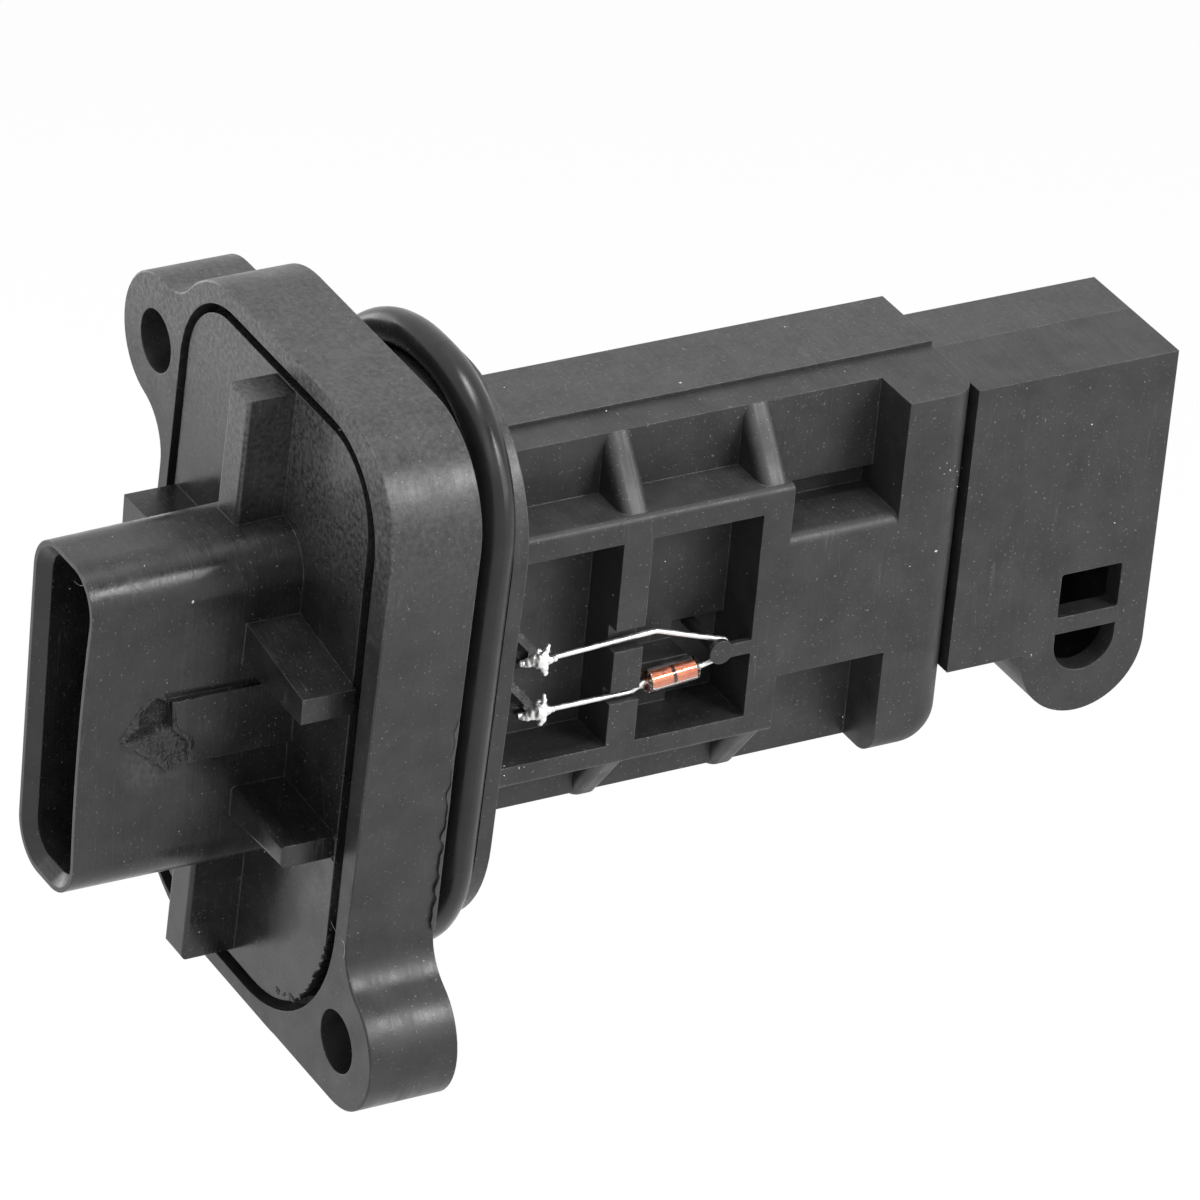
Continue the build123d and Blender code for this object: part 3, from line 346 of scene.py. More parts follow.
def bright_metal(name, colour, roughness, ripple=0.00002):
    """Return tinned or plated metal with a slightly uneven skin."""
    material, tree, shader = new_material(name)
    plain = object_coordinates(tree)
    tone = remap(tree, noise_field(tree, plain, 900, 3), 0.3, 0.7, 0, 1)
    tree.links.new(mixed(tree, tone, scaled(colour, 0.86), colour), shader.inputs["Base Color"])
    film = remap(tree, noise_field(tree, plain, 1500, 2), 0.3, 0.7, roughness * 0.6, roughness * 1.5)
    tree.links.new(film, shader.inputs["Roughness"])
    shader.inputs["Metallic"].default_value = 1.0
    bump = add_node(tree, "ShaderNodeBump", in_strength=0.4, in_distance=ripple)
    tree.links.new(noise_field(tree, plain, 1800, 2), bump.inputs["Height"])
    tree.links.new(bump.outputs["Normal"], shader.inputs["Normal"])
    return material


def clear_glass(name):
    """Return drawn glass with a faint warm tint."""
    material, tree, shader = new_material(name)
    plain = object_coordinates(tree)
    tint = remap(tree, noise_field(tree, plain, 400, 2), 0.3, 0.7, 0, 1)
    tree.links.new(mixed(tree, tint, (1.0, 0.93, 0.88, 1), (1.0, 0.97, 0.94, 1)), shader.inputs["Base Color"])
    shader.inputs["Transmission Weight"].default_value = 1.0
    shader.inputs["Roughness"].default_value = 0.03
    shader.inputs["IOR"].default_value = 1.5
    return material


def laminate(name, colour, second, roughness):
    """Return a board, ceramic, chip or dust finish with two close tones."""
    material, tree, shader = new_material(name)
    plain = object_coordinates(tree)
    tone = remap(tree, noise_field(tree, plain, 700, 3), 0.4, 0.6, 0, 1)
    tree.links.new(mixed(tree, tone, colour, second), shader.inputs["Base Color"])
    film = remap(tree, noise_field(tree, plain, 1300, 2), 0.3, 0.7, roughness * 0.8, roughness * 1.2)
    tree.links.new(film, shader.inputs["Roughness"])
    return material


def dress(material, *nodes):
    """Give CAD nodes a material."""
    for name in nodes:
        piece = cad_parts[name]
        piece.data.materials.clear()
        piece.data.materials.append(material)


def carrier_tree():
    """Return a search tree over the faces of every CAD node."""
    corners, faces = [], []
    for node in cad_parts.values():
        start = len(corners)
        corners.extend(vertex.co.copy() for vertex in node.data.vertices)
        faces.extend([start + index for index in face.vertices] for face in node.data.polygons)
    return BVHTree.FromPolygons(corners, faces)


def sight_line(across, down):
    """Return where the camera stands and the way it looks at a point of the picture."""
    slant = (SIGHT_RIGHT * (across - PICTURE_MIDDLE) + SIGHT_UP * (PICTURE_MIDDLE - down)) / LENS_STEPS
    return Vector(bpy.context.scene.studio.camera_place), (slant - SIGHT_BACK).normalized()


def seen_place(tree, across, down):
    """Return the point and outward normal of the surface at a point of the picture."""
    start, way = sight_line(across, down)
    place, normal = tree.ray_cast(start, way)[:2]
    if place is None:
        raise RuntimeError(f"nothing carries a piece at {across}, {down}")
    return place, normal if normal.dot(way) < 0 else -normal


def level_place(across, down, middle):
    """Return the point of the picture on the plane through middle that faces the camera."""
    start, way = sight_line(across, down)
    return start + way * ((middle - start).dot(SIGHT_BACK) / way.dot(SIGHT_BACK))


def add_piece(name, form, material, smooth=True):
    """Link a finished form as a rigid piece of the sensor."""
    bmesh.ops.recalc_face_normals(form, faces=form.faces)
    mesh = bpy.data.meshes.new(name)
    form.to_mesh(mesh)
    form.free()
    for face in mesh.polygons:
        face.use_smooth = smooth
    mesh.materials.append(material)
    piece = bpy.data.objects.new(name, mesh)
    bpy.context.collection.objects.link(piece)
    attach(piece, "root")
    return piece


def add_crumb(form, place, normal, width, height, chance):
    """Add one uneven crumb, half sunk in the surface that carries it."""
    turn = normal.to_track_quat("Z", "Y") @ Quaternion((0, 0, 1), chance.uniform(0, math.tau))
    size = (width * chance.uniform(0.35, 0.75), width * chance.uniform(0.25, 0.5), height)
    for vertex in bmesh.ops.create_icosphere(form, subdivisions=1, radius=1.0)["verts"]:
        wobble = 1 + chance.uniform(-0.35, 0.35)
        spot = place + turn @ Vector([part * reach * wobble for part, reach in zip(vertex.co, size)])
        vertex.co = [min(max(part, low), high) for part, low, high in zip(spot, *CAD_BOX)]


def add_ribbon(form, path, inward, outward, widths, thickness):
    """Add a closed strip along path, whose inner border wanders by widths."""
    rings = []
    for place, width in zip(path, widths):
        inner = place + inward * width
        corners = (place - outward * thickness, place + outward * thickness,
                   inner + outward * thickness * 1.3, inner - outward * thickness)
        rings.append([form.verts.new(corner) for corner in corners])
    for ring, following in zip(rings, rings[1:]):
        for start in range(4):
            end = (start + 1) % 4
            form.faces.new((ring[start], ring[end], following[end], following[start]))
    form.faces.new(rings[0][::-1])
    form.faces.new(rings[-1])


def add_thread(name, places, radius, material):
    """Lay a fine fibre through places as a closed tube."""
    curve = bpy.data.curves.new(name, "CURVE")
    curve.dimensions = "3D"
    curve.bevel_depth = radius
    curve.bevel_resolution = 2
    curve.use_fill_caps = True
    spline = curve.splines.new("NURBS")
    spline.points.add(len(places) - 1)
    for point, place in zip(spline.points, places):
        point.co = (*place, 1.0)
    spline.order_u = 3
    spline.use_endpoint_u = True
    carrier = bpy.data.objects.new(name + "_line", curve)
    bpy.context.collection.objects.link(carrier)
    bpy.context.view_layer.update()
    evaluated = carrier.evaluated_get(bpy.context.evaluated_depsgraph_get())
    form = bmesh.new()
    form.from_mesh(bpy.data.meshes.new_from_object(evaluated))
    bmesh.ops.remove_doubles(form, verts=form.verts, dist=radius * 0.05)
    bpy.data.objects.remove(carrier)
    return add_piece(name, form, material)


# How fine the melted solder is meshed, in metres, and the noise scale of its skin
MELT_GRAIN = 0.00006
SKIN_SCALE = 2600


def add_melt(name, balls, middle, material):
    """Join balls into one blob with an uneven skin.

    Each ball is placed by the picture, on the plane through middle that faces the camera.
    """
    form = bmesh.new()
    for across, down, radius in balls:
        place = level_place(across, down, middle)
        bmesh.ops.create_icosphere(form, subdivisions=3, radius=radius * MM, matrix=Matrix.Translation(place))
    piece = add_piece(name, form, material)
    remesh = piece.modifiers.new("join", "REMESH")
    remesh.mode = "VOXEL"
    remesh.voxel_size = MELT_GRAIN
    remesh.use_smooth_shade = True
    relax = piece.modifiers.new("relax", "SMOOTH")
    relax.factor = 0.5
    relax.iterations = 3
    bpy.context.view_layer.update()
    joined = bpy.data.meshes.new_from_object(piece.evaluated_get(bpy.context.evaluated_depsgraph_get()))
    piece.modifiers.clear()
    for vertex in joined.vertices:
        vertex.co += vertex.normal * MELT_GRAIN * noise.noise(vertex.co * SKIN_SCALE)
    piece.data = joined
    return piece


def inside(outline, x, z):
    """Return how far a point is inside a closed outline, or a negative number outside it."""
    within, nearest = False, 1e9
    for (x1, z1), (x2, z2) in zip(outline, outline[1:] + outline[:1]):
        if (z1 > z) != (z2 > z) and x < (x2 - x1) * (z - z1) / (z2 - z1) + x1:
            within = not within
        run = Vector((x2 - x1, z2 - z1))
        part = max(0.0, min(1.0, Vector((x - x1, z - z1)).dot(run) / run.length_squared))
        nearest = min(nearest, (Vector((x - x1, z - z1)) - run * part).length)
    return nearest if within else -nearest


# Rubbed spots on the header as a place and a radius in millimetres and a share of the lighter dusty tone:
# round the break, above it, on the plate under the lower wing, and on the plate's upper end, where the spot
# is painted light
HEADER_RUBBED_AND_LIT_SPOTS = (((-17.4, -6.9, -0.5), 3.2, 0.30), ((-13.9, -6.6, 9.3), 2.4, 0.10),
                ((-6.7, -12.1, -8.8), 3.4, 0.30), ((-6.7, -3.0, 21.5), 5.5, 0.30))


class SENSOR_OT_mouldings(bpy.types.Operator):
    """Finish the three black mouldings"""

    bl_idname = "sensor.mouldings"
    bl_label = "Finish Mouldings"

    def execute(self, context):
        dress(moulded_plastic("housing_black", 1.0, 0.36), "flange_housing")
        dress(moulded_plastic("header_black", 0.85, 0.24, rubbed_and_lit_spots=HEADER_RUBBED_AND_LIT_SPOTS), "connector_header")
        dress(moulded_plastic("cover_black", 1.05, 0.47, NO_DUST_OR_LIGHT), "probe_cover")
        return {"FINISHED"}


class SENSOR_OT_seals(bpy.types.Operator):
    """Finish the rubber ring, the sealant and the adhesive"""

    bl_idname = "sensor.seals"
    bl_label = "Finish Seals"

    def execute(self, context):
        seal = context.scene.seal
        dress(smooth_rubber("ring_rubber", tuple(seal.rubber_colour), seal.rubber_roughness), "o_ring")
        dress(smooth_rubber("sealant_black", (0.018, 0.018, 0.018, 1), 0.45), "header_sealant")
        dress(smooth_rubber("adhesive_black", (0.006, 0.006, 0.006, 1), 0.16, 0.22, 1.0),
              "upper_adhesive", "lower_adhesive")
        return {"FINISHED"}


class SENSOR_OT_element(bpy.types.Operator):
    """Finish the glass element, its slugs, wires and solder"""

    bl_idname = "sensor.element"
    bl_label = "Finish Element"

    def execute(self, context):
        element = context.scene.element
        tin = tuple(element.tin_colour)
        dress(clear_glass("element_glass"), "thermistor_glass")
        dress(bright_metal("slug_copper", tuple(element.copper_colour), 0.42),
              "thermistor_slug_left", "thermistor_slug_right")
        dress(laminate("chip_ceramic", (0.05, 0.04, 0.03, 1), (0.1, 0.08, 0.06, 1), 0.5), "thermistor_chip")
        dress(bright_metal("wire_tin", tin, 0.42), "upper_lead", "lower_lead")
        dress(bright_metal("solder_tin", tin, 0.14, 0.00006), "upper_solder", "lower_solder")
        dress(bright_metal("terminal_tin", scaled(tin, 0.8), 0.25), "upper_terminal", "lower_terminal",
              *[f"connector_pin_{index}" for index in range(1, 6)])
        return {"FINISHED"}


class SENSOR_OT_electronics(bpy.types.Operator):
    """Finish the board and what it carries"""

    bl_idname = "sensor.electronics"
    bl_label = "Finish Electronics"

    def execute(self, context):
        dress(laminate("board_green", (0.01, 0.09, 0.04, 1), (0.015, 0.12, 0.05, 1), 0.3), "circuit_board")
        dress(laminate("chip_epoxy", (0.02, 0.02, 0.02, 1), (0.03, 0.03, 0.03, 1), 0.5), "control_chip",
              "memory_chip", "resistor_1", "resistor_2", "resistor_3")
        dress(laminate("capacitor_tan", (0.35, 0.22, 0.12, 1), (0.42, 0.27, 0.15, 1), 0.45),
              "capacitor_1", "capacitor_2", "capacitor_3")
        dress(laminate("carrier_white", (0.72, 0.72, 0.68, 1), (0.8, 0.8, 0.76, 1), 0.4), "sensor_carrier")
        dress(laminate("element_film", (0.10, 0.08, 0.16, 1), (0.16, 0.12, 0.22, 1), 0.15), "flow_element")
        return {"FINISHED"}


# Balls of melted solder as picture places and radii in millimetres: a core, a stub, and drawn spikes
UPPER_SPLASH = (
    (540, 661, 0.60), (534.5, 660.5, 0.50), (529, 662.5, 0.38), (525, 664, 0.30), (521.5, 664, 0.25),
    (538, 655, 0.34), (539, 651, 0.22), (544.5, 655, 0.34), (547, 650, 0.24), (548.5, 646, 0.17),
    (543.5, 668, 0.40), (545, 672.5, 0.25), (549, 660, 0.34), (555, 658.5, 0.22))
LOWER_SPLASH = (
    (539, 712.5, 0.62), (533, 713.5, 0.50), (527.5, 716, 0.38), (523.5, 717, 0.30), (520.5, 717, 0.24),
    (537, 706, 0.34), (538, 702, 0.22), (543, 706, 0.34), (544, 700, 0.23), (544, 695.5, 0.16),
    (541.5, 719, 0.36), (540, 723, 0.24), (547.5, 710, 0.34), (553, 709, 0.22))
# How far the splashes stand out over the adhesive, in metres
SPLASH_LIFT = 0.0004
# The lower lead is pinched flat where it enters the glass
PINCHED_LEAD = ((638.5, 686.5, 0.20), (641.5, 685.3, 0.27), (645, 683.8, 0.32), (649, 682.4, 0.31))


class SENSOR_OT_solder(bpy.types.Operator):
    """Build the splashed solder joints and the pinched end of the lower lead"""

    bl_idname = "sensor.solder"
    bl_label = "Build Solder"

    def execute(self, context):
        tin = tuple(context.scene.element.tin_colour)
        solder = bright_metal("splash_tin", tin, 0.45, 0.00006)
        for name, node, balls in (("upper_splash", "upper_solder", UPPER_SPLASH),
                                  ("lower_splash", "lower_solder", LOWER_SPLASH)):
            low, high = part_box(node)
            middle = (Vector(low) + Vector(high)) / 2 + SIGHT_BACK * SPLASH_LIFT
            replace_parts(add_melt(name, balls, middle, solder), node)
        low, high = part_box("thermistor_glass")
        middle = (Vector(low) + Vector(high)) / 2
        wire = bright_metal("pinched_tin", tin, 0.42)
        add_melt("pinched_lead", PINCHED_LEAD, middle, wire)
        return {"FINISHED"}


# The break on the near wall as X and Z points in millimetres
TORN_OUTLINE = ((-20.3, 1.8), (-18.9, 4.2), (-17.9, 5.1), (-16.7, 4.9), (-16.3, 4.4), (-15.9, 2.6),
                (-14.6, 1.6), (-14.3, -0.8), (-16.3, -1.7), (-17.8, -0.4), (-19.2, 1.0))
# The net laid over the break: its spacing in millimetres, its lowest row, and its columns and rows
TORN_STEP = 0.14
TORN_BOTTOM = -1.9
TORN_COLUMNS = 46
TORN_ROWS = 52
# A ray starts at this Y, in front of the wall, in metres
RAY_START = -0.03
# The net lies this far off the wall, and its back face is sunk this far into it, in metres
TORN_LIFT = 0.00001
TORN_SINK = 0.00025
# The tear rises to its full height over the first width, and what lies deeper than the second gets a painted
# shade, in millimetres
TORN_SLOPE = 0.5
HOLLOW_SHADE = 0.35


class SENSOR_OT_tear(bpy.types.Operator):
    """Cover the broken end of the latch rail with torn plastic"""

    bl_idname = "sensor.tear"
    bl_label = "Build Tear"

    def execute(self, context):
        tree = carrier_tree()
        depth = context.scene.debris.tear_depth
        columns = [TORN_OUTLINE[0][0] + TORN_STEP * index for index in range(TORN_COLUMNS)]
        rows = [TORN_BOTTOM + TORN_STEP * index for index in range(TORN_ROWS)]
        form, grid = bmesh.new(), {}
        for column, x in enumerate(columns):
            for row, z in enumerate(rows):
                margin = inside(TORN_OUTLINE, x, z)
                if margin < 0:
                    continue
                start = Vector((x * MM, RAY_START, z * MM))
                place = tree.ray_cast(start, Vector((0, 1, 0)))[0]
                if place is None:
                    raise RuntimeError("the torn plastic has no wall to sit on")
                seed = Vector((x * 1.3, place.y * 900, z * 1.3))
                rough = (abs(noise.noise(seed)) + 0.6 * abs(noise.noise(seed * 2.3))
                         + 0.35 * noise.noise(seed * 5.1))
                place.y -= depth * min(1.0, margin / TORN_SLOPE) * rough + TORN_LIFT
                grid[column, row] = form.verts.new(place)
        # Faces deeper than this level take the second slot, a painted shade in the tear's hollows
        wall = max(vertex.co.y for vertex in grid.values()) - HOLLOW_SHADE * MM
        for column, row in list(grid):
            ring = [grid.get((column + right, row + up)) for right, up in ((0, 0), (1, 0), (1, 1), (0, 1))]
            if all(ring):
                form.faces.new(ring).material_index = int(sum(vertex.co.y for vertex in ring) / 4 > wall)
        for vertex in [vertex for vertex in form.verts if not vertex.link_faces]:
            form.verts.remove(vertex)
        sunk = bmesh.ops.extrude_face_region(form, geom=form.faces[:], use_keep_orig=True)["geom"]
        for vertex in [part for part in sunk if isinstance(part, bmesh.types.BMVert)]:
            vertex.co.y += TORN_SINK
        torn = moulded_plastic("torn_black", 1.1, 0.5, NO_DUST_OR_LIGHT, 0.9)
        piece = add_piece("torn_rail", form, torn, False)
        # Second slot: near-black painted shade for the tear's hollows
        piece.data.materials.append(moulded_plastic("hollow_painted_shade", 0.15, 0.75, NO_DUST_OR_LIGHT, 0.0))
        return {"FINISHED"}


# The back edge of the flange's near side from top to bottom, as picture places
BURR_EDGE = ((459.5, 722), (454, 762), (450, 800), (444, 850), (438.5, 898), (434, 934))
# Points of the flash on each run of that edge, and its half thickness in metres
BURR_POINTS = 9
BURR_THICKNESS = 0.00005
# Sealant squeezed over the rim of the plate as picture places and widths in millimetres
OVERFLOW = ((300, 997, 0.7), (305, 994, 0.9), (310, 990, 1.1), (314, 985, 1.3), (318, 979, 1.3),
            (321, 972, 1.2), (324, 964, 1.0), (326, 956, 0.8), (328, 947, 0.7), (330, 938, 0.6),
            (331, 929, 0.5), (332, 920, 0.5))
OVERFLOW_HEIGHT = 0.00012
# Clusters of sealant crumbs beside the plate, written the same way
GLUE_SPOTS = ((278, 992, 0.5), (284, 994, 0.35), (291, 996, 0.55), (299, 998, 0.4), (306, 1000, 0.3),
              (332, 858, 0.3), (336, 862, 0.22), (330, 852, 0.18), (343, 775, 0.2), (338, 812, 0.24),
              (335, 838, 0.2))
GLUE_HEIGHT = 0.00008
CRUMBS_IN_SPOT = 3


class SENSOR_OT_flash(bpy.types.Operator):
    """Build the folded flash on the flange and the crumbs of sealant round the plate"""

    bl_idname = "sensor.flash"
    bl_label = "Build Flash"

    def execute(self, context):
        reach = context.scene.debris.burr_reach
        tree = carrier_tree()
        path = []
        for (left, top), (right, bottom) in zip(BURR_EDGE, BURR_EDGE[1:]):
            for part in range(BURR_POINTS):
                start, way = sight_line(left + (right - left) * part / BURR_POINTS,
                                        top + (bottom - top) * part / BURR_POINTS)
                path.append(start + way * ((SEAT_X - start.x) / way.x))
        form = bmesh.new()
        widths = []
        for place in path:
            ragged = noise.noise(Vector((0.3, 0, place.z * 900)))
            widths.append(reach * max(0.12, 0.45 + 1.1 * ragged))
        outward = Vector((0, -1, 0.06)).normalized()
        add_ribbon(form, path, Vector((-1, 0, 0)), outward, widths, BURR_THICKNESS)
        flash = moulded_plastic("flash_black", 1.6, 0.3, NO_DUST_OR_LIGHT, 0.2)
        add_piece("flange_flash", form, flash, False)

        chance = random.Random(11)
        form = bmesh.new()
        for across, down, width in GLUE_SPOTS:
            place, normal = seen_place(tree, across, down)
            for crumb in range(CRUMBS_IN_SPOT):
                shift = Vector([chance.uniform(-0.4, 0.4) * width * MM for axis in range(3)])
                level = place + shift - normal * shift.dot(normal)
                add_crumb(form, level, normal, width * MM, GLUE_HEIGHT, chance)
        for across, down, width in OVERFLOW:
            place, normal = seen_place(tree, across, down)
            add_crumb(form, place, normal, width * MM, OVERFLOW_HEIGHT, chance)
        sealant = smooth_rubber("crumb_black", (0.02, 0.02, 0.02, 1), 0.3)
        add_piece("sealant_crumbs", form, sealant, False)
        return {"FINISHED"}


# Larger crumbs of dust as picture places and widths in millimetres
BIG_CRUMBS = (
    (193, 602, 0.22), (785, 327, 0.24), (936, 551, 0.24), (680, 383, 0.30), (950, 470, 0.16),
    (955, 466, 0.10), (944, 474, 0.12), (958, 475, 0.09), (947, 463, 0.08), (940, 468, 0.09),
    (953, 480, 0.08), (962, 468, 0.07), (397, 345, 0.12), (402, 342, 0.10), (408, 349, 0.12),
    (428, 378, 0.08), (504, 766, 0.12), (519, 768, 0.16), (524, 767, 0.12), (586, 606, 0.10),
    (588, 612, 0.08), (755, 657, 0.10), (340, 430, 0.24))
# Heights of the crumbs as shares of their width, and widths of the scattered dust as shares of the common one
BIG_CRUMB_HEIGHT = 0.25
DUST_HEIGHT = 0.3
DUST_WIDTHS = (0.6, 0.8, 1.0, 1.0, 1.4, 2.0)
# Stray fibres as runs of picture places, their radius and how far they stand off the surface, in metres
FIBRES = (((331, 922), (335, 931), (341, 937), (346, 946), (344, 958)),
          ((74, 581), (79, 586), (86, 585), (92, 588)))
FIBRE_RADIUS = 0.000018
FIBRE_LIFT = 0.00002


class SENSOR_OT_dust(bpy.types.Operator):
    """Scatter dust and lay two stray fibres"""

    bl_idname = "sensor.dust"
    bl_label = "Scatter Dust"

    def execute(self, context):
        debris = context.scene.debris
        tree = carrier_tree()
        pale = laminate("dust_pale", (0.42, 0.42, 0.41, 1), (0.75, 0.75, 0.74, 1), 0.8)
        chance = random.Random(5)
        form = bmesh.new()
        for across, down, width in BIG_CRUMBS:
            place, normal = seen_place(tree, across, down)
            add_crumb(form, place, normal, width * MM, width * MM * BIG_CRUMB_HEIGHT, chance)
        add_piece("big_dust", form, pale, False)
        for node, slot in MOULDINGS.items():
            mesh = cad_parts[node].data
            mesh.calc_loop_triangles()
            corners = [[mesh.vertices[index].co for index in part.vertices] for part in mesh.loop_triangles]
            areas = [part.area for part in mesh.loop_triangles]
            normals = [part.normal.copy() for part in mesh.loop_triangles]
            form = bmesh.new()
            for index in chance.choices(range(len(areas)), areas, k=debris.dust_count):
                first, second = chance.random(), chance.random()
                if first + second > 1:
                    first, second = 1 - first, 1 - second
                one, two, three = corners[index]
                place = one + (two - one) * first + (three - one) * second
                width = debris.dust_size * chance.choice(DUST_WIDTHS)
                add_crumb(form, place, normals[index], width, width * DUST_HEIGHT, chance)
            add_piece(node + "_dust", form, pale, False)
        for number, run in enumerate(FIBRES, 1):
            places = []
            for across, down in run:
                place, normal = seen_place(tree, across, down)
                places.append(place + normal * FIBRE_LIFT)
            add_thread(f"fibre_{number}", places, FIBRE_RADIUS, pale)
        return {"FINISHED"}


def aimed(place, target):
    """Return the turn that points a lamp or a sheet at place towards target."""
    return (Vector(target) - Vector(place)).to_track_quat("-Z", "Y").to_euler()


def area_lamp(name, place, target, power, width, height):
    """Add one soft rectangular lamp."""
    data = bpy.data.lights.new(name, "AREA")
    data.shape = "RECTANGLE"
    data.size = width
    data.size_y = height
    data.energy = power
    lamp = bpy.data.objects.new(name, data)
    lamp.location = place
    lamp.rotation_euler = aimed(place, target)
    bpy.context.collection.objects.link(lamp)


# The floor's width, a point in the middle of the sensor, and the upper end of its flange, in metres
FLOOR_WIDTH = 6.0
MIDDLE = (0.02, 0.0, 0.0)
UPPER_END = (0.0, 0.012, 0.022)
# Each lamp's name, place, target and width and height in metres
LAMPS = (("top_lamp", (0.01, 0.0, 0.80), MIDDLE, 0.26, 0.26),
         ("near_lamp", (0.40, -0.50, 0.49), MIDDLE, 0.28, 0.22),
         ("side_lamp", (0.55, -0.55, 0.23), MIDDLE, 0.45, 0.45),
         ("front_lamp", (-0.15, -0.55, 0.55), MIDDLE, 0.40, 0.40),
         ("card_lamp", (-0.10, 0.30, 0.0), UPPER_END, 0.20, 0.20))
# The black flag over the near lamp: its place, and its width and height in metres
FLAG_PLACE = (0.30, -0.38, 0.66)
FLAG_WIDTH = 0.60
FLAG_HEIGHT = 0.14


def flat_sheet(name, width, height, material):
    """Link a flat sheet for the stage, centred on its own origin."""
    right, up = width / 2, height / 2
    mesh = bpy.data.meshes.new(name)
    mesh.from_pydata([(-right, -up, 0), (right, -up, 0), (right, up, 0), (-right, up, 0)], [], [(0, 1, 2, 3)])
    mesh.materials.append(material)
    sheet = bpy.data.objects.new(name, mesh)
    bpy.context.collection.objects.link(sheet)
    return sheet


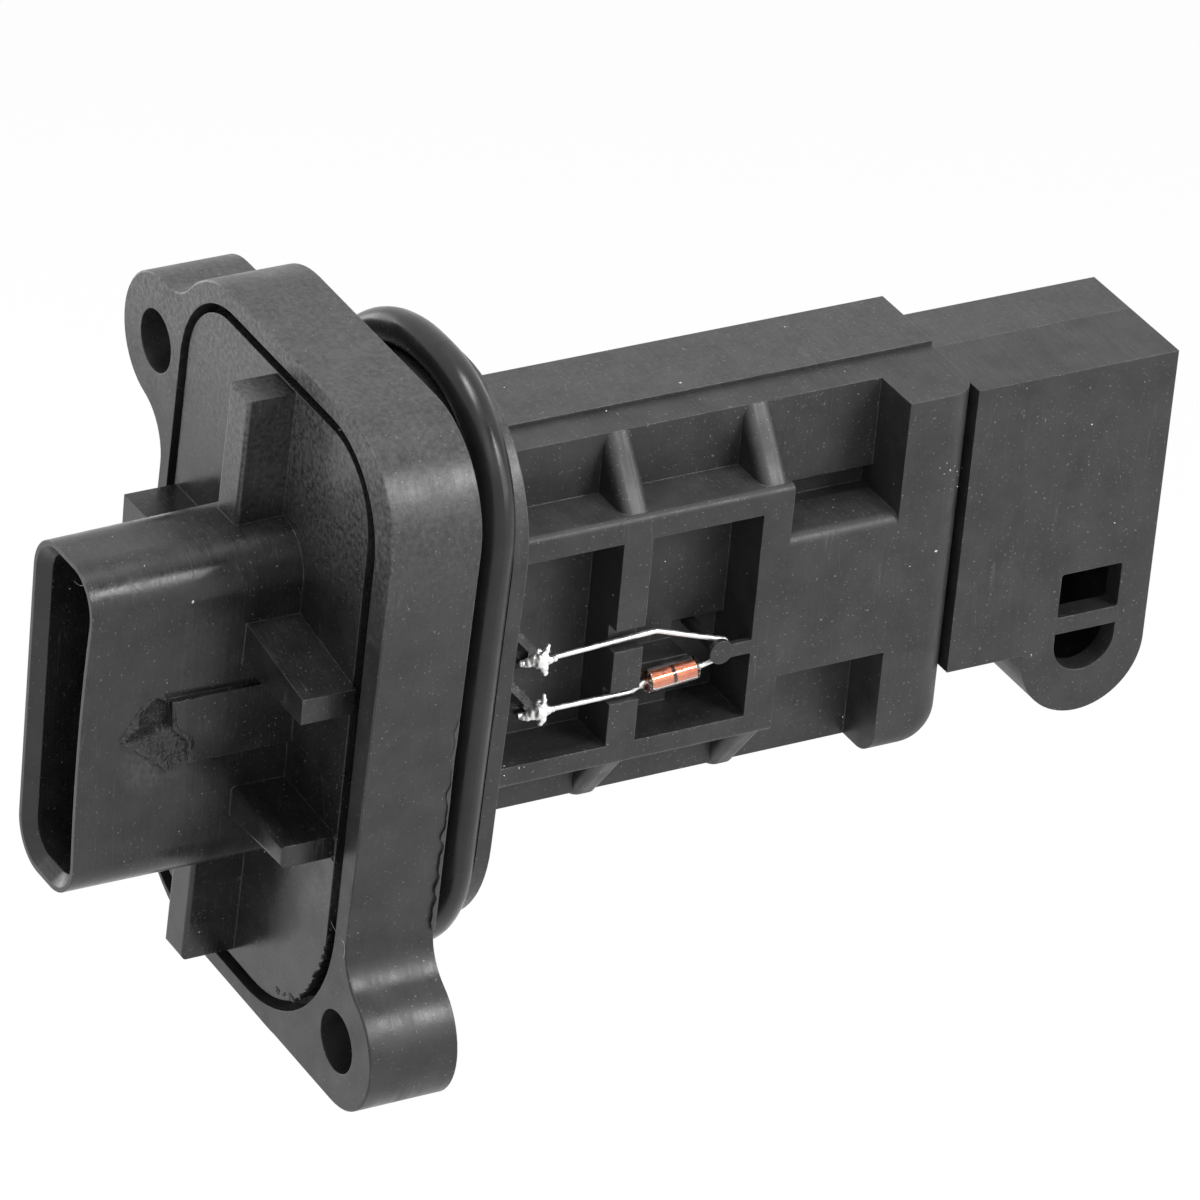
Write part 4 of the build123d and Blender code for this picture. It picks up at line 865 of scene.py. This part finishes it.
class SENSOR_OT_stage(bpy.types.Operator):
    """Set up the floor, the lamps, the room and the camera"""

    bl_idname = "sensor.stage"
    bl_label = "Set Stage"

    def execute(self, context):
        stage = context.scene.studio
        pale, tree, shader = new_material("floor_pale")
        shader.inputs["Base Color"].default_value = (0.8, 0.8, 0.8, 1)
        shader.inputs["Roughness"].default_value = 0.9
        self.show_white(tree, shader.outputs[0], tree.nodes["Material Output"].inputs["Surface"], 0.85)
        floor = flat_sheet("floor", FLOOR_WIDTH, FLOOR_WIDTH, pale)
        floor.location = (0, 0, -stage.floor_drop)

        powers = (stage.top_power, stage.near_power, stage.side_power, stage.front_power, stage.card_power)
        for (name, place, target, width, height), power in zip(LAMPS, powers):
            area_lamp(name, place, target, power, width, height)

        black, tree, shader = new_material("flag_black")
        shader.inputs["Base Color"].default_value = (0.01, 0.01, 0.01, 1)
        shader.inputs["Roughness"].default_value = 1.0
        flag = flat_sheet("upper_flag", FLAG_WIDTH, FLAG_HEIGHT, black)
        flag.location = FLAG_PLACE
        flag.rotation_euler = aimed(FLAG_PLACE, MIDDLE)

        # The room isn't sampled as a lamp, so that reflections see all of its white
        world = bpy.data.worlds.new("room")
        world.use_nodes = True
        context.scene.world = world
        world.cycles.sampling_method = "NONE"
        room = world.node_tree.nodes["Background"]
        room.inputs["Color"].default_value = (1, 1, 1, 1)
        room.inputs["Strength"].default_value = stage.room_level
        tree = world.node_tree
        self.show_white(tree, room.outputs[0], tree.nodes["World Output"].inputs["Surface"], 1.0)

        data = bpy.data.cameras.new("camera")
        data.sensor_width = 36
        data.lens = stage.lens
        data.clip_start = 0.01
        data.clip_end = 20
        camera = bpy.data.objects.new("camera", data)
        camera.matrix_world = Matrix((SIGHT_RIGHT, SIGHT_UP, SIGHT_BACK)).transposed().to_4x4()
        camera.location = stage.camera_place
        context.collection.objects.link(camera)
        context.scene.camera = camera
        context.scene.view_settings.view_transform = "Standard"
        return {"FINISHED"}

    @staticmethod
    def show_white(tree, lit, target, strength):
        """Show white to the camera and to reflections, and plain shading to all other rays."""
        rays = add_node(tree, "ShaderNodeLightPath")
        seen = add_node(tree, "ShaderNodeMath", operation="MAXIMUM")
        either = add_node(tree, "ShaderNodeMath", operation="MAXIMUM")
        tree.links.new(rays.outputs["Is Camera Ray"], seen.inputs[0])
        tree.links.new(rays.outputs["Is Transmission Ray"], seen.inputs[1])
        tree.links.new(seen.outputs[0], either.inputs[0])
        tree.links.new(rays.outputs["Is Glossy Ray"], either.inputs[1])
        share = add_node(tree, "ShaderNodeMath", operation="MULTIPLY", in_1=strength)
        tree.links.new(either.outputs[0], share.inputs[0])
        kind = "ShaderNodeEmission" if tree.nodes.get("Principled BSDF") else "ShaderNodeBackground"
        white = add_node(tree, kind, in_color=(1, 1, 1, 1), in_strength=1.0)
        blend = add_node(tree, "ShaderNodeMixShader")
        tree.links.new(share.outputs[0], blend.inputs["Fac"])
        tree.links.new(lit, blend.inputs[1])
        tree.links.new(white.outputs[0], blend.inputs[2])
        tree.links.new(blend.outputs[0], target)


class SENSOR_PT_panel(bpy.types.Panel):
    """Lists the sensor's settings and steps."""

    bl_label = "Mass Airflow Sensor"
    bl_idname = "SENSOR_PT_panel"
    bl_space_type = "VIEW_3D"
    bl_region_type = "UI"
    bl_category = "Sensor"

    def draw(self, context):
        for group in GROUPS:
            settings = getattr(context.scene, group)
            box = self.layout.box()
            for name in settings.__annotations__:
                box.prop(settings, name)
        for step in STEPS:
            self.layout.operator(step.bl_idname)


GROUPS = {"plastic": PlasticSettings, "seal": SealSettings, "element": ElementSettings,
          "debris": DebrisSettings, "studio": StageSettings}
STEPS = (SENSOR_OT_mouldings, SENSOR_OT_seals, SENSOR_OT_element, SENSOR_OT_electronics,
         SENSOR_OT_solder, SENSOR_OT_tear, SENSOR_OT_flash, SENSOR_OT_dust, SENSOR_OT_stage)


def register():
    """Register the classes and hang the settings on the scene."""
    for group in GROUPS.values():
        bpy.utils.register_class(group)
    for step in STEPS + (SENSOR_PT_panel,):
        bpy.utils.register_class(step)
    for name, group in GROUPS.items():
        setattr(bpy.types.Scene, name, PointerProperty(type=group))


def unregister():
    """Undo register."""
    for name in GROUPS:
        delattr(bpy.types.Scene, name)
    for step in (SENSOR_PT_panel,) + STEPS[::-1]:
        bpy.utils.unregister_class(step)
    for group in GROUPS.values():
        bpy.utils.unregister_class(group)


def main():
    """Build every piece in order."""
    register()
    bpy.ops.sensor.mouldings()
    bpy.ops.sensor.seals()
    bpy.ops.sensor.element()
    bpy.ops.sensor.electronics()
    bpy.ops.sensor.solder()
    bpy.ops.sensor.tear()
    bpy.ops.sensor.flash()
    bpy.ops.sensor.dust()
    bpy.ops.sensor.stage()


if __name__ == "__main__":
    main()
